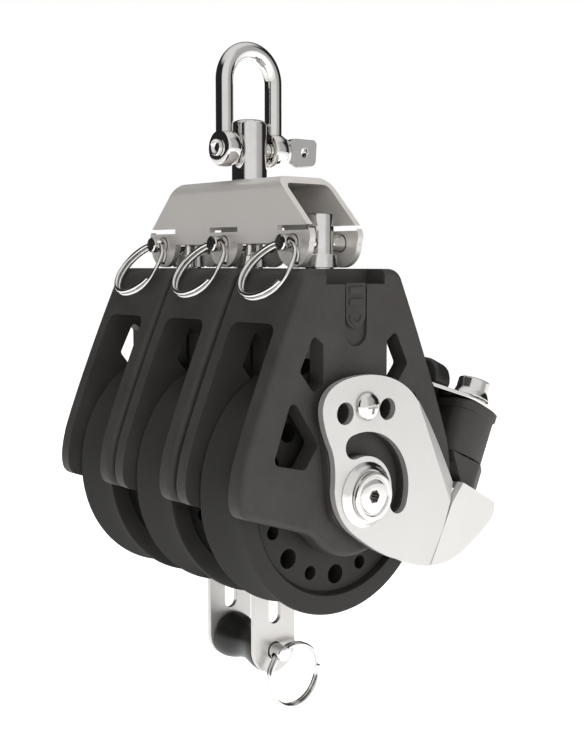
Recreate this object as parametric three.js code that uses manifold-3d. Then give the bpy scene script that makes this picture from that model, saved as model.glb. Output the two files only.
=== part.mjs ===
// Triple sheave block with a becket and a cam cleat, for a dinghy or small yacht's mainsheet.
// Millimetres, +Z up. The origin is the inside top of the shackle bow, the point that the block
// hangs from. The sheave axles run along Y, the rope leaves over +X, and the cam cleat is at +X.
import * as THREE from "three";
import { mergeVertices } from "three/addons/utils/BufferGeometryUtils.js";
import Module from "manifold-3d";

const wasm = await Module();
wasm.setup();

// Driving dimensions. Heights inside the block are above the sheave axles.
const AXLE_DROP = 124.8; // from the shackle's bearing point down to the axles
const SHEAVE_RADIUS = 36;
const SHEAVE_HALF_WIDTH = 9.1;
const GROOVE_RADIUS = 29.6;
const WEB_HALF_WIDTH = 7.1;
const BALL_RACE_RADIUS = 12.7;
const RACE_SLEEVE_RADIUS = 7;
const BALL_RADIUS = 2.65;
const BALL_COUNT = 10;
const AXLE_RADIUS = 4;
const AXLE_HOLE = 4.3;
const AXLE_HEAD_RADIUS = 6.9;

const UNIT_PITCH = 32.2;
const UNIT_HALF = 15.3;
const CHEEK_INNER = 9.7;
const POCKET_OUTER = 13.6;
const SHELL_TOP = 62.2;
const SLOT_TOP = 47.6;
const HUB_LOBE = 18.4;
const AXLE_SEAT = 13.4;
const RECESS_LOW = 58;
const RECESS_INNER = 8;

const STRAP_HALF_WIDTH = 7.5;
const STRAP_OUTER = 13.3;
const STRAP_THICKNESS = 1.2;
const BRIDGE_TOP = 56.2;

const POST_RADIUS = 4;
const COLLAR_RADIUS = 5.1;
const POST_FLANGE = 5.6;
const POST_TOP = 77.8;
const PIN_HEIGHT = 69.5;
const PIN_RADIUS = 2.4;
const PIN_HOLE = 2.65;

const BRACKET_HALF_WIDTH = 10;
const BRACKET_TOP = 88.5;
const SHEET = 2;

const RING_RADIUS = 9.6;
const RING_WIRE = 1.36;
const RING_HOLE = 1.6;
const RING_LEAN = THREE.MathUtils.degToRad(39);
const BECKET_RING_LEAN = THREE.MathUtils.degToRad(33);

const SWIVEL_RADIUS = 5.3;
const SWIVEL_TOP = 106.7;
const SHACKLE_PIN_HEIGHT = 98;
const SHACKLE_WIRE = 2.6;
const SHACKLE_HALF_WIDTH = 9.3;
const SHACKLE_EYE_RADIUS = 5.5;
const BOW_CENTRE = AXLE_DROP + SHACKLE_WIRE - SHACKLE_HALF_WIDTH;

const BECKET_PIN_DROP = 54.5;
const BECKET_HALF_WIDTH = 8.1;
const BECKET_OUTER = 11.9;
const BECKET_THICKNESS = 1.6;
const SPOOL_RADIUS = 7.2;

const CHEEK_FACE = UNIT_PITCH + UNIT_HALF;
const PAD_FACE = CHEEK_FACE + 2.3;
const ARM_INNER = CHEEK_FACE + 2.5;
const ARM_OUTER = ARM_INNER + SHEET;
const ARM_SCREW_HEIGHT = 24.6;
const FOLD_TOP = [20.4, 24.4];
const FOLD_BOTTOM = [34.4, -6.4];
const HOOK_HALF_WIDTH = 3.4;

const CLEAT_TILT = THREE.MathUtils.degToRad(24);
const PLATFORM_TOP = 15.1;
const BASE_BOTTOM = 15.4;
const BASE_TOP = 23.2;
const CAM_BOTTOM = 23.6;
const CAM_TOP = 40;
const CAM_BOLT_ALONG = 39.6;
const CAM_PIVOT_SIDE = 10.4;
const CAM_BOLT_RADIUS = 2.5;
const CAM_BOLT_FOOT = 18.3;
const BASE_SCREW_ALONG = 52;
const BASE_SCREW_SIDE = 9;
const BASE_SCREW_RADIUS = 2;
const BASE_SCREW_TIP = 21;
const WING_ANGLE = THREE.MathUtils.degToRad(14);
const FOLD_ALONG = 34.8;

const FINE = 24;
const MEDIUM = 12;

const nylon = new THREE.MeshStandardMaterial({ color: 0x34312e, roughness: 0.75, metalness: 0 });
const acetal = new THREE.MeshStandardMaterial({ color: 0x26241f, roughness: 0.5, metalness: 0 });
const polished = new THREE.MeshStandardMaterial({ color: 0xd8d6d2, roughness: 0.08, metalness: 1 });
const satin = new THREE.MeshStandardMaterial({ color: 0xd0ccc6, roughness: 0.32, metalness: 1 });
const bright = new THREE.MeshStandardMaterial({ color: 0xe6e3df, roughness: 0.45, metalness: 0.6 });
const ballWhite = new THREE.MeshStandardMaterial({ color: 0xe4e0d6, roughness: 0.4, metalness: 0 });
const springSteel = new THREE.MeshStandardMaterial({ color: 0xa8a6a2, roughness: 0.3, metalness: 1 });

// Solids from geometry, and back.

function solid(geometry) {
  const bare = geometry.index ? geometry.toNonIndexed() : geometry.clone();
  bare.deleteAttribute("normal");
  bare.deleteAttribute("uv");
  const merged = mergeVertices(bare, 1e-3);
  const index = merged.index.array;
  const faces = [];
  for (let i = 0; i < index.length; i += 3) {
    const [a, b, c] = index.slice(i, i + 3);
    if (a !== b && b !== c && c !== a) faces.push(a, b, c);
  }
  const position = merged.attributes.position;
  let volume = 0;
  for (let i = 0; i < faces.length; i += 3) {
    const [a, b, c] = [0, 1, 2].map((k) => new THREE.Vector3().fromBufferAttribute(position, faces[i + k]));
    volume += a.dot(b.cross(c));
  }
  if (volume < 0) faces.reverse();
  return new wasm.Manifold(
    new wasm.Mesh({ numProp: 3, vertProperties: position.array, triVerts: new Uint32Array(faces) }),
  );
}

function part(name, manifold, material) {
  const mesh = manifold.getMesh();
  const geometry = new THREE.BufferGeometry();
  geometry.setAttribute("position", new THREE.BufferAttribute(mesh.vertProperties, 3));
  geometry.setIndex(new THREE.BufferAttribute(mesh.triVerts, 1));
  geometry.computeVertexNormals();
  const made = new THREE.Mesh(geometry, material);
  made.name = name;
  return made;
}

// A shape in X and Z, made solid between two Y positions.
function plateY(shape, low, high, segments = 3) {
  const geometry = new THREE.ExtrudeGeometry(shape, {
    depth: high - low,
    bevelEnabled: false,
    curveSegments: segments,
  });
  geometry.rotateX(Math.PI / 2);
  geometry.translate(0, high, 0);
  return solid(geometry);
}

// A shape in Y and Z, made solid between two X positions.
function plateX(shape, low, high, segments = 3) {
  const geometry = new THREE.ExtrudeGeometry(shape, {
    depth: high - low,
    bevelEnabled: false,
    curveSegments: segments,
  });
  geometry.rotateX(Math.PI / 2);
  geometry.rotateZ(Math.PI / 2);
  geometry.translate(low, 0, 0);
  return solid(geometry);
}

// A shape in X and Y, made solid between two Z positions.
function plateZ(shape, low, high, segments = 3) {
  const geometry = new THREE.ExtrudeGeometry(shape, {
    depth: high - low,
    bevelEnabled: false,
    curveSegments: segments,
  });
  geometry.translate(0, 0, low);
  return solid(geometry);
}

// A shape with rounded corners from [across, up, corner radius].
function rounded(corners) {
  const shape = new THREE.Shape();
  corners.forEach(([x, y, radius = 0], i) => {
    const here = new THREE.Vector2(x, y);
    const [px, py] = corners[(i + corners.length - 1) % corners.length];
    const [nx, ny] = corners[(i + 1) % corners.length];
    const back = new THREE.Vector2(px, py).sub(here).normalize();
    const on = new THREE.Vector2(nx, ny).sub(here).normalize();
    const half = Math.acos(THREE.MathUtils.clamp(back.dot(on), -1, 1)) / 2;
    const setback = radius / Math.tan(half);
    const start = here.clone().addScaledVector(back, setback);
    const end = here.clone().addScaledVector(on, setback);
    if (i === 0) shape.moveTo(start.x, start.y);
    else shape.lineTo(start.x, start.y);
    if (radius > 0) shape.quadraticCurveTo(x, y, end.x, end.y);
  });
  shape.closePath();
  return shape;
}

const mirrored = (corners) => corners.map(([x, y, radius]) => [-x, y, radius]);
const circle = (radius, x = 0, y = 0) => new THREE.Shape().absarc(x, y, radius, 0, 2 * Math.PI);

// A round ended slot between two heights.
function slot(halfWidth, low, high, x = 0) {
  const shape = new THREE.Shape();
  shape.absarc(x, high - halfWidth, halfWidth, 0, Math.PI);
  shape.absarc(x, low + halfWidth, halfWidth, Math.PI, 2 * Math.PI);
  shape.closePath();
  return shape;
}

// A turned piece from [radius, position along its axis].
function turned(profile, axis, segments = MEDIUM) {
  const points = profile.map(([radius, along]) => new THREE.Vector2(radius, along));
  const first = points[0];
  const last = points[points.length - 1];
  if (first.x > 0 || last.x > 0) points.push(first.clone());
  const geometry = new THREE.LatheGeometry(points, segments);
  if (axis === "z") geometry.rotateX(Math.PI / 2);
  if (axis === "x") geometry.rotateZ(-Math.PI / 2);
  return solid(geometry);
}

function rod(radius, low, high, axis, segments = MEDIUM) {
  return turned([[0, low], [radius, low], [radius, high], [0, high]], axis, segments);
}

function tube(inner, outer, low, high, axis, segments = MEDIUM) {
  return turned([[inner, low], [outer, low], [outer, high], [inner, high]], axis, segments);
}

function hexagon(acrossFlats) {
  const corner = acrossFlats / Math.sqrt(3);
  const shape = new THREE.Shape();
  for (let i = 0; i < 6; i++) {
    const angle = (i * Math.PI) / 3;
    shape[i ? "lineTo" : "moveTo"](corner * Math.cos(angle), corner * Math.sin(angle));
  }
  shape.closePath();
  return shape;
}

function box(low, high) {
  const size = low.map((v, i) => high[i] - v);
  const geometry = new THREE.BoxGeometry(...size);
  geometry.translate(...low.map((v, i) => v + size[i] / 2));
  return solid(geometry);
}

// The shell: two cheeks joined by the head, cut for the rope, windows, straps and fittings.

function shellOutline() {
  const shape = new THREE.Shape();
  const lobeAngle = THREE.MathUtils.degToRad(42);
  const lobeX = HUB_LOBE * Math.cos(lobeAngle);
  const lobeZ = -HUB_LOBE * Math.sin(lobeAngle);
  shape.moveTo(-13.8, SHELL_TOP);
  shape.lineTo(13.8, SHELL_TOP);
  shape.quadraticCurveTo(17.6, SHELL_TOP, 19, 58.4);
  shape.lineTo(32.2, 28.2);
  shape.lineTo(38.6, 11.6);
  shape.quadraticCurveTo(42.2, -1.4, 37.4, -2.9);
  shape.lineTo(19, -8.95);
  shape.quadraticCurveTo(15.6, -10.1, lobeX, lobeZ);
  shape.absarc(0, 0, HUB_LOBE, -lobeAngle, -Math.PI + lobeAngle, true);
  shape.quadraticCurveTo(-15.6, -10.1, -19, -8.95);
  shape.lineTo(-37.4, -2.9);
  shape.quadraticCurveTo(-42.2, -1.4, -38.6, 11.6);
  shape.lineTo(-32.2, 28.2);
  shape.lineTo(-19, 58.4);
  shape.quadraticCurveTo(-17.6, SHELL_TOP, -13.8, SHELL_TOP);
  return shape;
}

const UPPER_WINDOW = [[15.5, 44.6, 1.2], [20.4, 35, 1.2], [15.2, 28.6, 1.5], [12, 31, 1.2], [12, 42, 1.2]];
const LOWER_WINDOW = [[23, 28.4, 1.6], [29.6, 10.8, 1.8], [18.5, 8.2, 2], [13.7, 14.8, 1.6]];

function shell(bottomOpen, armScrew) {
  let body = plateY(shellOutline(), -UNIT_HALF, UNIT_HALF, 4);
  const ropeWay = rounded([
    [-CHEEK_INNER, -40],
    [CHEEK_INNER, -40],
    [CHEEK_INNER, SLOT_TOP, 3],
    [-CHEEK_INNER, SLOT_TOP, 3],
  ]);
  body = body.subtract(plateX(ropeWay, -60, 60, 2));
  for (const window of [UPPER_WINDOW, LOWER_WINDOW]) {
    for (const corners of [window, mirrored(window)]) {
      body = body.subtract(plateY(rounded(corners), -UNIT_HALF - 1, UNIT_HALF + 1, 1));
    }
  }
  const pocketLow = bottomOpen ? -HUB_LOBE - 10 : -STRAP_HALF_WIDTH - 2;
  const pocketWidth = bottomOpen ? BECKET_HALF_WIDTH + 0.4 : STRAP_HALF_WIDTH + 0.4;
  const pocketShape = slot(pocketWidth, pocketLow, BRIDGE_TOP + 0.3 + pocketWidth);
  const pocketTop = box([-20, -20, BRIDGE_TOP + 0.3], [20, 20, 90]);
  for (const side of [-1, 1]) {
    const [low, high] = side < 0 ? [-POCKET_OUTER, -CHEEK_INNER + 0.5] : [CHEEK_INNER - 0.5, POCKET_OUTER];
    body = body.subtract(plateY(pocketShape, low, high).subtract(pocketTop));
    const recessLow = side < 0 ? -UNIT_HALF - 1 : RECESS_INNER;
    const recessDepth = UNIT_HALF + 1 - RECESS_INNER;
    body = body.subtract(box([-11, recessLow, RECESS_LOW], [11, recessLow + recessDepth, 70]));
    const seatLow = side < 0 ? -UNIT_HALF - 1 : AXLE_SEAT;
    const seatDepth = UNIT_HALF + 1 - AXLE_SEAT;
    body = body.subtract(rod(AXLE_HEAD_RADIUS + 0.3, seatLow, seatLow + seatDepth, "y"));
  }
  body = body.subtract(box(
    [-STRAP_HALF_WIDTH - 0.4, -POCKET_OUTER, BRIDGE_TOP - STRAP_THICKNESS - 0.3],
    [STRAP_HALF_WIDTH + 0.4, POCKET_OUTER, BRIDGE_TOP + 0.3],
  ));
  body = body.subtract(rod(POST_RADIUS + 0.3, SLOT_TOP - 1, SHELL_TOP + 1, "z"));
  body = body.subtract(rod(POST_FLANGE + 0.4, SLOT_TOP - 1, BRIDGE_TOP - STRAP_THICKNESS, "z"));
  body = body.subtract(plateY(slot(4.1, 40.9, 70), -UNIT_HALF - 1, -UNIT_HALF + 0.95));
  if (armScrew) {
    body = body.subtract(rod(2.3, -UNIT_HALF - 1, -CHEEK_INNER + 1, "y").translate([0, 0, ARM_SCREW_HEIGHT]));
  }
  return body;
}

// The sheave: a deep round groove, recessed webs with lightening holes, and a ball race bore.

function sheave() {
  const rim = [];
  const grooveSteps = 4;
  const lip = SHEAVE_HALF_WIDTH - 0.9;
  for (let i = 0; i <= grooveSteps; i++) {
    const across = -lip + (2 * lip * i) / grooveSteps;
    const depth = (SHEAVE_RADIUS - 0.4 - GROOVE_RADIUS) * (1 - (across / lip) ** 2);
    rim.push([SHEAVE_RADIUS - 0.4 - depth, across]);
  }
  const flange = SHEAVE_HALF_WIDTH;
  let body = turned(
    [
      [11.2, -8.6],
      [16, -8.6],
      [17.4, -WEB_HALF_WIDTH],
      [29.2, -WEB_HALF_WIDTH],
      [30.4, -flange],
      [SHEAVE_RADIUS - 0.6, -flange],
      [SHEAVE_RADIUS, -flange + 0.4],
      ...rim,
      [SHEAVE_RADIUS, flange - 0.4],
      [SHEAVE_RADIUS - 0.6, flange],
      [30.4, flange],
      [29.2, WEB_HALF_WIDTH],
      [17.4, WEB_HALF_WIDTH],
      [16, 8.6],
      [11.2, 8.6],
      [11.2, 3.4],
      [BALL_RACE_RADIUS, 3.2],
      [BALL_RACE_RADIUS, -3.2],
      [11.2, -3.4],
    ],
    "y",
    FINE,
  );
  for (let i = 0; i < 16; i++) {
    const angle = (i * Math.PI) / 8;
    const radius = i % 2 ? 2 : 2.8;
    const hole = circle(radius, 24.9 * Math.cos(angle), 24.9 * Math.sin(angle));
    body = body.subtract(plateY(hole, -10, 10, 3));
  }
  return body;
}

// The balls are held in one ring cage.
function ballCage() {
  const pathRadius = (BALL_RACE_RADIUS + RACE_SLEEVE_RADIUS) / 2;
  let body = tube(pathRadius - 0.8, pathRadius + 0.8, -2.9, 2.9, "y", BALL_COUNT * 2);
  for (let i = 0; i < BALL_COUNT; i++) {
    const angle = (i * 2 * Math.PI) / BALL_COUNT;
    const ball = new THREE.IcosahedronGeometry(BALL_RADIUS, 0);
    ball.translate(pathRadius * Math.cos(angle), 0, pathRadius * Math.sin(angle));
    body = body.add(solid(ball));
  }
  return body;
}

// Load path of one unit: a bent strap through the cheeks and head, and the post that it carries.

function loadStrap(screwHole) {
  const outer = rounded([
    [-STRAP_OUTER, -STRAP_HALF_WIDTH],
    [STRAP_OUTER, -STRAP_HALF_WIDTH],
    [STRAP_OUTER, BRIDGE_TOP, 1.5],
    [-STRAP_OUTER, BRIDGE_TOP, 1.5],
  ]);
  const inside = STRAP_OUTER - STRAP_THICKNESS;
  let body = plateX(outer, -STRAP_HALF_WIDTH, STRAP_HALF_WIDTH, 3);
  body = body.subtract(box([-20, -inside, -20], [20, inside, BRIDGE_TOP - STRAP_THICKNESS]));
  const legShape = slot(STRAP_HALF_WIDTH, -STRAP_HALF_WIDTH, 80);
  body = body.intersect(plateY(legShape, -20, 20));
  body = body.subtract(rod(AXLE_HOLE, -20, 20, "y"));
  body = body.subtract(rod(POST_RADIUS + 0.2, 50, 60, "z"));
  if (screwHole) body = body.subtract(rod(2.5, -20, 0, "y").translate([0, 0, ARM_SCREW_HEIGHT]));
  return body;
}

function headPost() {
  const body = turned(
    [
      [0, 51.4],
      [POST_FLANGE, 51.4],
      [POST_FLANGE, BRIDGE_TOP - STRAP_THICKNESS - 0.3],
      [POST_RADIUS, BRIDGE_TOP - STRAP_THICKNESS - 0.3],
      [POST_RADIUS, SHELL_TOP + 0.3],
      [COLLAR_RADIUS, SHELL_TOP + 0.3],
      [COLLAR_RADIUS, 66.4],
      [POST_RADIUS, 66.5],
      [POST_RADIUS, POST_TOP - 0.5],
      [POST_RADIUS - 0.5, POST_TOP],
      [0, POST_TOP],
    ],
    "z",
  );
  return body.subtract(rod(PIN_HOLE, -10, 10, "x").translate([0, 0, PIN_HEIGHT]));
}

function clevisPin() {
  const body = turned(
    [
      [0, -14.8],
      [PIN_RADIUS - 0.5, -14.8],
      [PIN_RADIUS, -14.3],
      [PIN_RADIUS, BRACKET_HALF_WIDTH + 0.2],
      [3.6, BRACKET_HALF_WIDTH + 0.2],
      [3.6, BRACKET_HALF_WIDTH + 1.6],
      [3, BRACKET_HALF_WIDTH + 2.2],
      [0, BRACKET_HALF_WIDTH + 2.2],
    ],
    "x",
  );
  return body.subtract(rod(RING_HOLE, -5, 5, "y").translate([-12.6, 0, 0]));
}

// A split ring: two coils of wire side by side, with its top at the origin and its plane in Y and Z.
function splitRing() {
  const half = RING_WIRE / 2;
  const section = [];
  for (const [middle, from] of [[half, -90], [-half, 90]]) {
    for (let step = 0; step <= 2; step++) {
      const angle = THREE.MathUtils.degToRad(from + 90 * step);
      section.push([RING_RADIUS + half * Math.sin(angle), middle + half * Math.cos(angle)]);
    }
  }
  return turned(section, "x", 20).translate([0, 0, -RING_RADIUS]);
}

// The sliding lock on the cheek, and the two pieces that go through each sheave.

function lockSlider() {
  let body = plateY(slot(3.7, 45.8, 70), -UNIT_HALF + 0.05, -UNIT_HALF + 0.75);
  body = body.subtract(box([-6, -20, 58.4], [6, 0, 80]));
  for (const height of [53.2, 56.4]) {
    body = body.add(box([-2.6, -UNIT_HALF - 0.45, height - 0.9], [2.6, -UNIT_HALF + 0.3, height + 0.9]));
  }
  return body;
}

function axleBolt() {
  const face = -UNIT_HALF + 0.1;
  const body = turned(
    [
      [0, face],
      [AXLE_HEAD_RADIUS - 0.4, face],
      [AXLE_HEAD_RADIUS, face + 0.4],
      [AXLE_HEAD_RADIUS, -13.6],
      [AXLE_RADIUS, -13.6],
      [AXLE_RADIUS, UNIT_HALF - 0.3],
      [0, UNIT_HALF - 0.3],
    ],
    "y",
  );
  return body.subtract(plateY(hexagon(4), face - 1, face + 1.5));
}

function armAxleBolt() {
  const head = -ARM_OUTER - 4.2 + UNIT_PITCH;
  const body = turned(
    [
      [0, head],
      [4.6, head],
      [4.9, head + 0.35],
      [5.3, head + 0.35],
      [5.6, head],
      [AXLE_HEAD_RADIUS - 0.5, head],
      [AXLE_HEAD_RADIUS, head + 0.5],
      [AXLE_HEAD_RADIUS, head + 1.7],
      [AXLE_RADIUS, head + 1.7],
      [AXLE_RADIUS, UNIT_HALF - 0.3],
      [0, UNIT_HALF - 0.3],
    ],
    "y",
  );
  return body.subtract(plateY(hexagon(3.4), head - 1, head + 2.4));
}

// The head bracket: a sheet folded to a channel, with three lobes for the clevis pins.

function headBracket() {
  const inner = BRACKET_HALF_WIDTH - SHEET;
  const channel = (half, top, radius) =>
    rounded([[-half, 50], [half, 50], [half, top, radius], [-half, top, radius]]);
  let body = plateY(channel(BRACKET_HALF_WIDTH, BRACKET_TOP, 3.6), -60, 60, 5);
  body = body.subtract(plateY(channel(inner, BRACKET_TOP - SHEET, 1.8), -61, 61, 5));
  const side = new THREE.Shape();
  const lobe = 7;
  side.moveTo(-23.6, BRACKET_TOP + 1);
  side.lineTo(-38.4, 74.6);
  side.quadraticCurveTo(-40.4, 72, -39.2, PIN_HEIGHT);
  for (const centre of [-UNIT_PITCH, 0, UNIT_PITCH]) {
    side.absarc(centre, PIN_HEIGHT, lobe, Math.PI, 2 * Math.PI);
  }
  side.lineTo(39.2, PIN_HEIGHT);
  side.quadraticCurveTo(40.4, 72, 38.4, 74.6);
  side.lineTo(23.6, BRACKET_TOP + 1);
  side.closePath();
  body = body.intersect(plateX(side, -20, 20, 5));
  for (const centre of [-UNIT_PITCH, 0, UNIT_PITCH]) {
    body = body.subtract(rod(PIN_HOLE, -20, 20, "x").translate([0, centre, PIN_HEIGHT]));
    body = body.subtract(box([-20, centre - 6.9, 73], [20, centre + 6.9, 74.5]));
  }
  return body.subtract(rod(4.6, 80, 95, "z"));
}

// Swivel post, nut and washer, and the shackle with its pin.

function swivelPost() {
  const body = turned(
    [
      [0, 80.8],
      [4, 80.8],
      [4, BRACKET_TOP + 0.2],
      [SWIVEL_RADIUS, BRACKET_TOP + 0.2],
      [SWIVEL_RADIUS, SWIVEL_TOP - 1.4],
      [SWIVEL_RADIUS - 0.5, SWIVEL_TOP - 0.6],
      [SWIVEL_RADIUS - 1.6, SWIVEL_TOP],
      [0, SWIVEL_TOP + 0.3],
    ],
    "z",
    20,
  );
  return body.subtract(rod(2.75, -10, 10, "x").translate([0, 0, SHACKLE_PIN_HEIGHT]));
}

function shackleBow() {
  const path = new THREE.CurvePath();
  const foot = SHACKLE_PIN_HEIGHT + 2;
  const left = new THREE.Vector3(-SHACKLE_HALF_WIDTH, 0, BOW_CENTRE);
  const right = new THREE.Vector3(SHACKLE_HALF_WIDTH, 0, BOW_CENTRE);
  const points = [new THREE.Vector3(-SHACKLE_HALF_WIDTH, 0, foot), left];
  const arcSteps = 12;
  for (let i = 1; i < arcSteps; i++) {
    const angle = Math.PI - (Math.PI * i) / arcSteps;
    points.push(new THREE.Vector3(
      SHACKLE_HALF_WIDTH * Math.cos(angle),
      0,
      BOW_CENTRE + SHACKLE_HALF_WIDTH * Math.sin(angle),
    ));
  }
  points.push(right, new THREE.Vector3(SHACKLE_HALF_WIDTH, 0, foot));
  for (let i = 1; i < points.length; i++) path.add(new THREE.LineCurve3(points[i - 1], points[i]));
  const bow = new THREE.ExtrudeGeometry(circle(SHACKLE_WIRE), {
    steps: 20,
    extrudePath: path,
    curveSegments: 5,
    bevelEnabled: false,
  });
  let body = solid(bow);
  for (const side of [-1, 1]) {
    const [low, high] = side < 0 ? [-11.8, -6.6] : [6.6, 11.8];
    body = body.add(rod(SHACKLE_EYE_RADIUS, low, high, "x").translate([0, 0, SHACKLE_PIN_HEIGHT]));
  }
  return body.subtract(rod(2.7, -20, 20, "x").translate([0, 0, SHACKLE_PIN_HEIGHT]));
}

function shacklePin() {
  let body = turned(
    [
      [0, -12.2],
      [1.5, -12.4],
      [1.9, -13],
      [2.4, -13],
      [2.5, -12.6],
      [2.5, 12.1],
      [4.3, 12.1],
      [4.3, 13.4],
      [3, 14.4],
      [0, 14.4],
    ],
    "x",
  );
  const tongue = rounded([
    [13, -2.6], [17, -4.6, 1.5], [25.4, -3.8, 2],
    [26, 4.4, 1.5], [17, 4.4, 1.5], [13, 2.6],
  ]);
  tongue.holes.push(new THREE.Path().absarc(20.8, 0.2, 1.4, 0, 2 * Math.PI));
  body = body.add(plateY(tongue, -1.5, 1.5, 5));
  return body;
}

// The becket: two straps, a waisted spool on its pin, and a ring.

function becketStrap() {
  const outline = new THREE.Shape();
  outline.absarc(0, 0, BECKET_HALF_WIDTH, 0, Math.PI);
  outline.absarc(0, -BECKET_PIN_DROP + 1.1, BECKET_HALF_WIDTH, Math.PI, 2 * Math.PI);
  outline.closePath();
  let body = plateY(outline, -BECKET_OUTER, -BECKET_OUTER + BECKET_THICKNESS, 6);
  body = body.subtract(plateY(slot(2.2, -46, -22), -20, 0));
  body = body.subtract(rod(AXLE_HOLE, -20, 0, "y"));
  return body.subtract(rod(PIN_HOLE, -20, 0, "y").translate([0, 0, -BECKET_PIN_DROP]));
}

function becketSpool() {
  const half = BECKET_OUTER - BECKET_THICKNESS - 0.4;
  const profile = [[2.7, -half], [SPOOL_RADIUS - 0.5, -half]];
  const steps = 6;
  for (let i = 0; i <= steps; i++) {
    const across = -1 + (2 * i) / steps;
    const waist = 1.7 * Math.cos((across * Math.PI) / 2) ** 2;
    profile.push([SPOOL_RADIUS - waist, across * (half - 0.5)]);
  }
  profile.push([SPOOL_RADIUS - 0.5, half], [2.7, half]);
  return turned(profile, "y");
}

function becketPin() {
  const body = turned(
    [
      [0, -17],
      [PIN_RADIUS - 0.5, -17],
      [PIN_RADIUS, -16.5],
      [PIN_RADIUS, BECKET_OUTER + 0.2],
      [3.6, BECKET_OUTER + 0.2],
      [3.6, BECKET_OUTER + 1.8],
      [0, BECKET_OUTER + 2],
    ],
    "y",
  );
  const hole = rod(RING_HOLE, -5, 5, "x").rotate([0, -THREE.MathUtils.radToDeg(BECKET_RING_LEAN), 0]);
  return body.subtract(hole.translate([0, -14.6, 0]));
}

// The cam arm: a sheet with a folded edge, a folded wing and a platform for the cleat.

function armOutline() {
  const shape = new THREE.Shape();
  shape.moveTo(FOLD_TOP[0], FOLD_TOP[1]);
  shape.quadraticCurveTo(14, 32.6, 1, 33.3);
  shape.quadraticCurveTo(-15.2, 33.4, -16.1, 25);
  shape.quadraticCurveTo(-16.2, 20.6, -13.2, 14.6);
  shape.quadraticCurveTo(-11, 10.4, -11.8, 2.4);
  shape.quadraticCurveTo(-11.4, -5.6, -4.2, -10.9);
  shape.quadraticCurveTo(5.4, -18, 13.2, -20.5);
  shape.quadraticCurveTo(20, -23.9, 27.4, -24.6);
  shape.lineTo(FOLD_BOTTOM[0], FOLD_BOTTOM[1]);
  shape.closePath();
  return shape;
}

// The hook shaped slot closes in a little on the axle as it comes round.
function hookSlot(half) {
  const steps = 12;
  const startAngle = 108;
  const sweep = 124;
  const middle = (t) => {
    const angle = THREE.MathUtils.degToRad(startAngle - sweep * t);
    const radius = 14.4 - 1.4 * t;
    return new THREE.Vector2(radius * Math.cos(angle), radius * Math.sin(angle));
  };
  const edge = (t, side) => {
    const on = middle(Math.min(t + 0.01, 1)).sub(middle(Math.max(t - 0.01, 0))).normalize();
    return middle(t).add(new THREE.Vector2(-on.y, on.x).multiplyScalar(side * half));
  };
  const points = [];
  for (let i = 0; i <= steps; i++) points.push(edge(i / steps, 1));
  const capSteps = 5;
  for (let i = 1; i < capSteps; i++) points.push(capPoint(middle, 1, half, i / capSteps));
  for (let i = steps; i >= 0; i--) points.push(edge(i / steps, -1));
  for (let i = 1; i < capSteps; i++) points.push(capPoint(middle, 0, half, i / capSteps));
  return new THREE.Shape(points);
}

function capPoint(middle, end, half, t) {
  const inner = middle(end ? 0.98 : 0.02);
  const tip = middle(end);
  const outward = Math.atan2(tip.y - inner.y, tip.x - inner.x);
  const angle = outward + Math.PI / 2 - Math.PI * t;
  return new THREE.Vector2(tip.x + half * Math.cos(angle), tip.y + half * Math.sin(angle));
}

// Places a solid given in the cleat's own tilted frame: along the slope, across it, and up from it.
function tilted(manifold) {
  return manifold.rotate([0, THREE.MathUtils.radToDeg(CLEAT_TILT), 0]);
}

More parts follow.
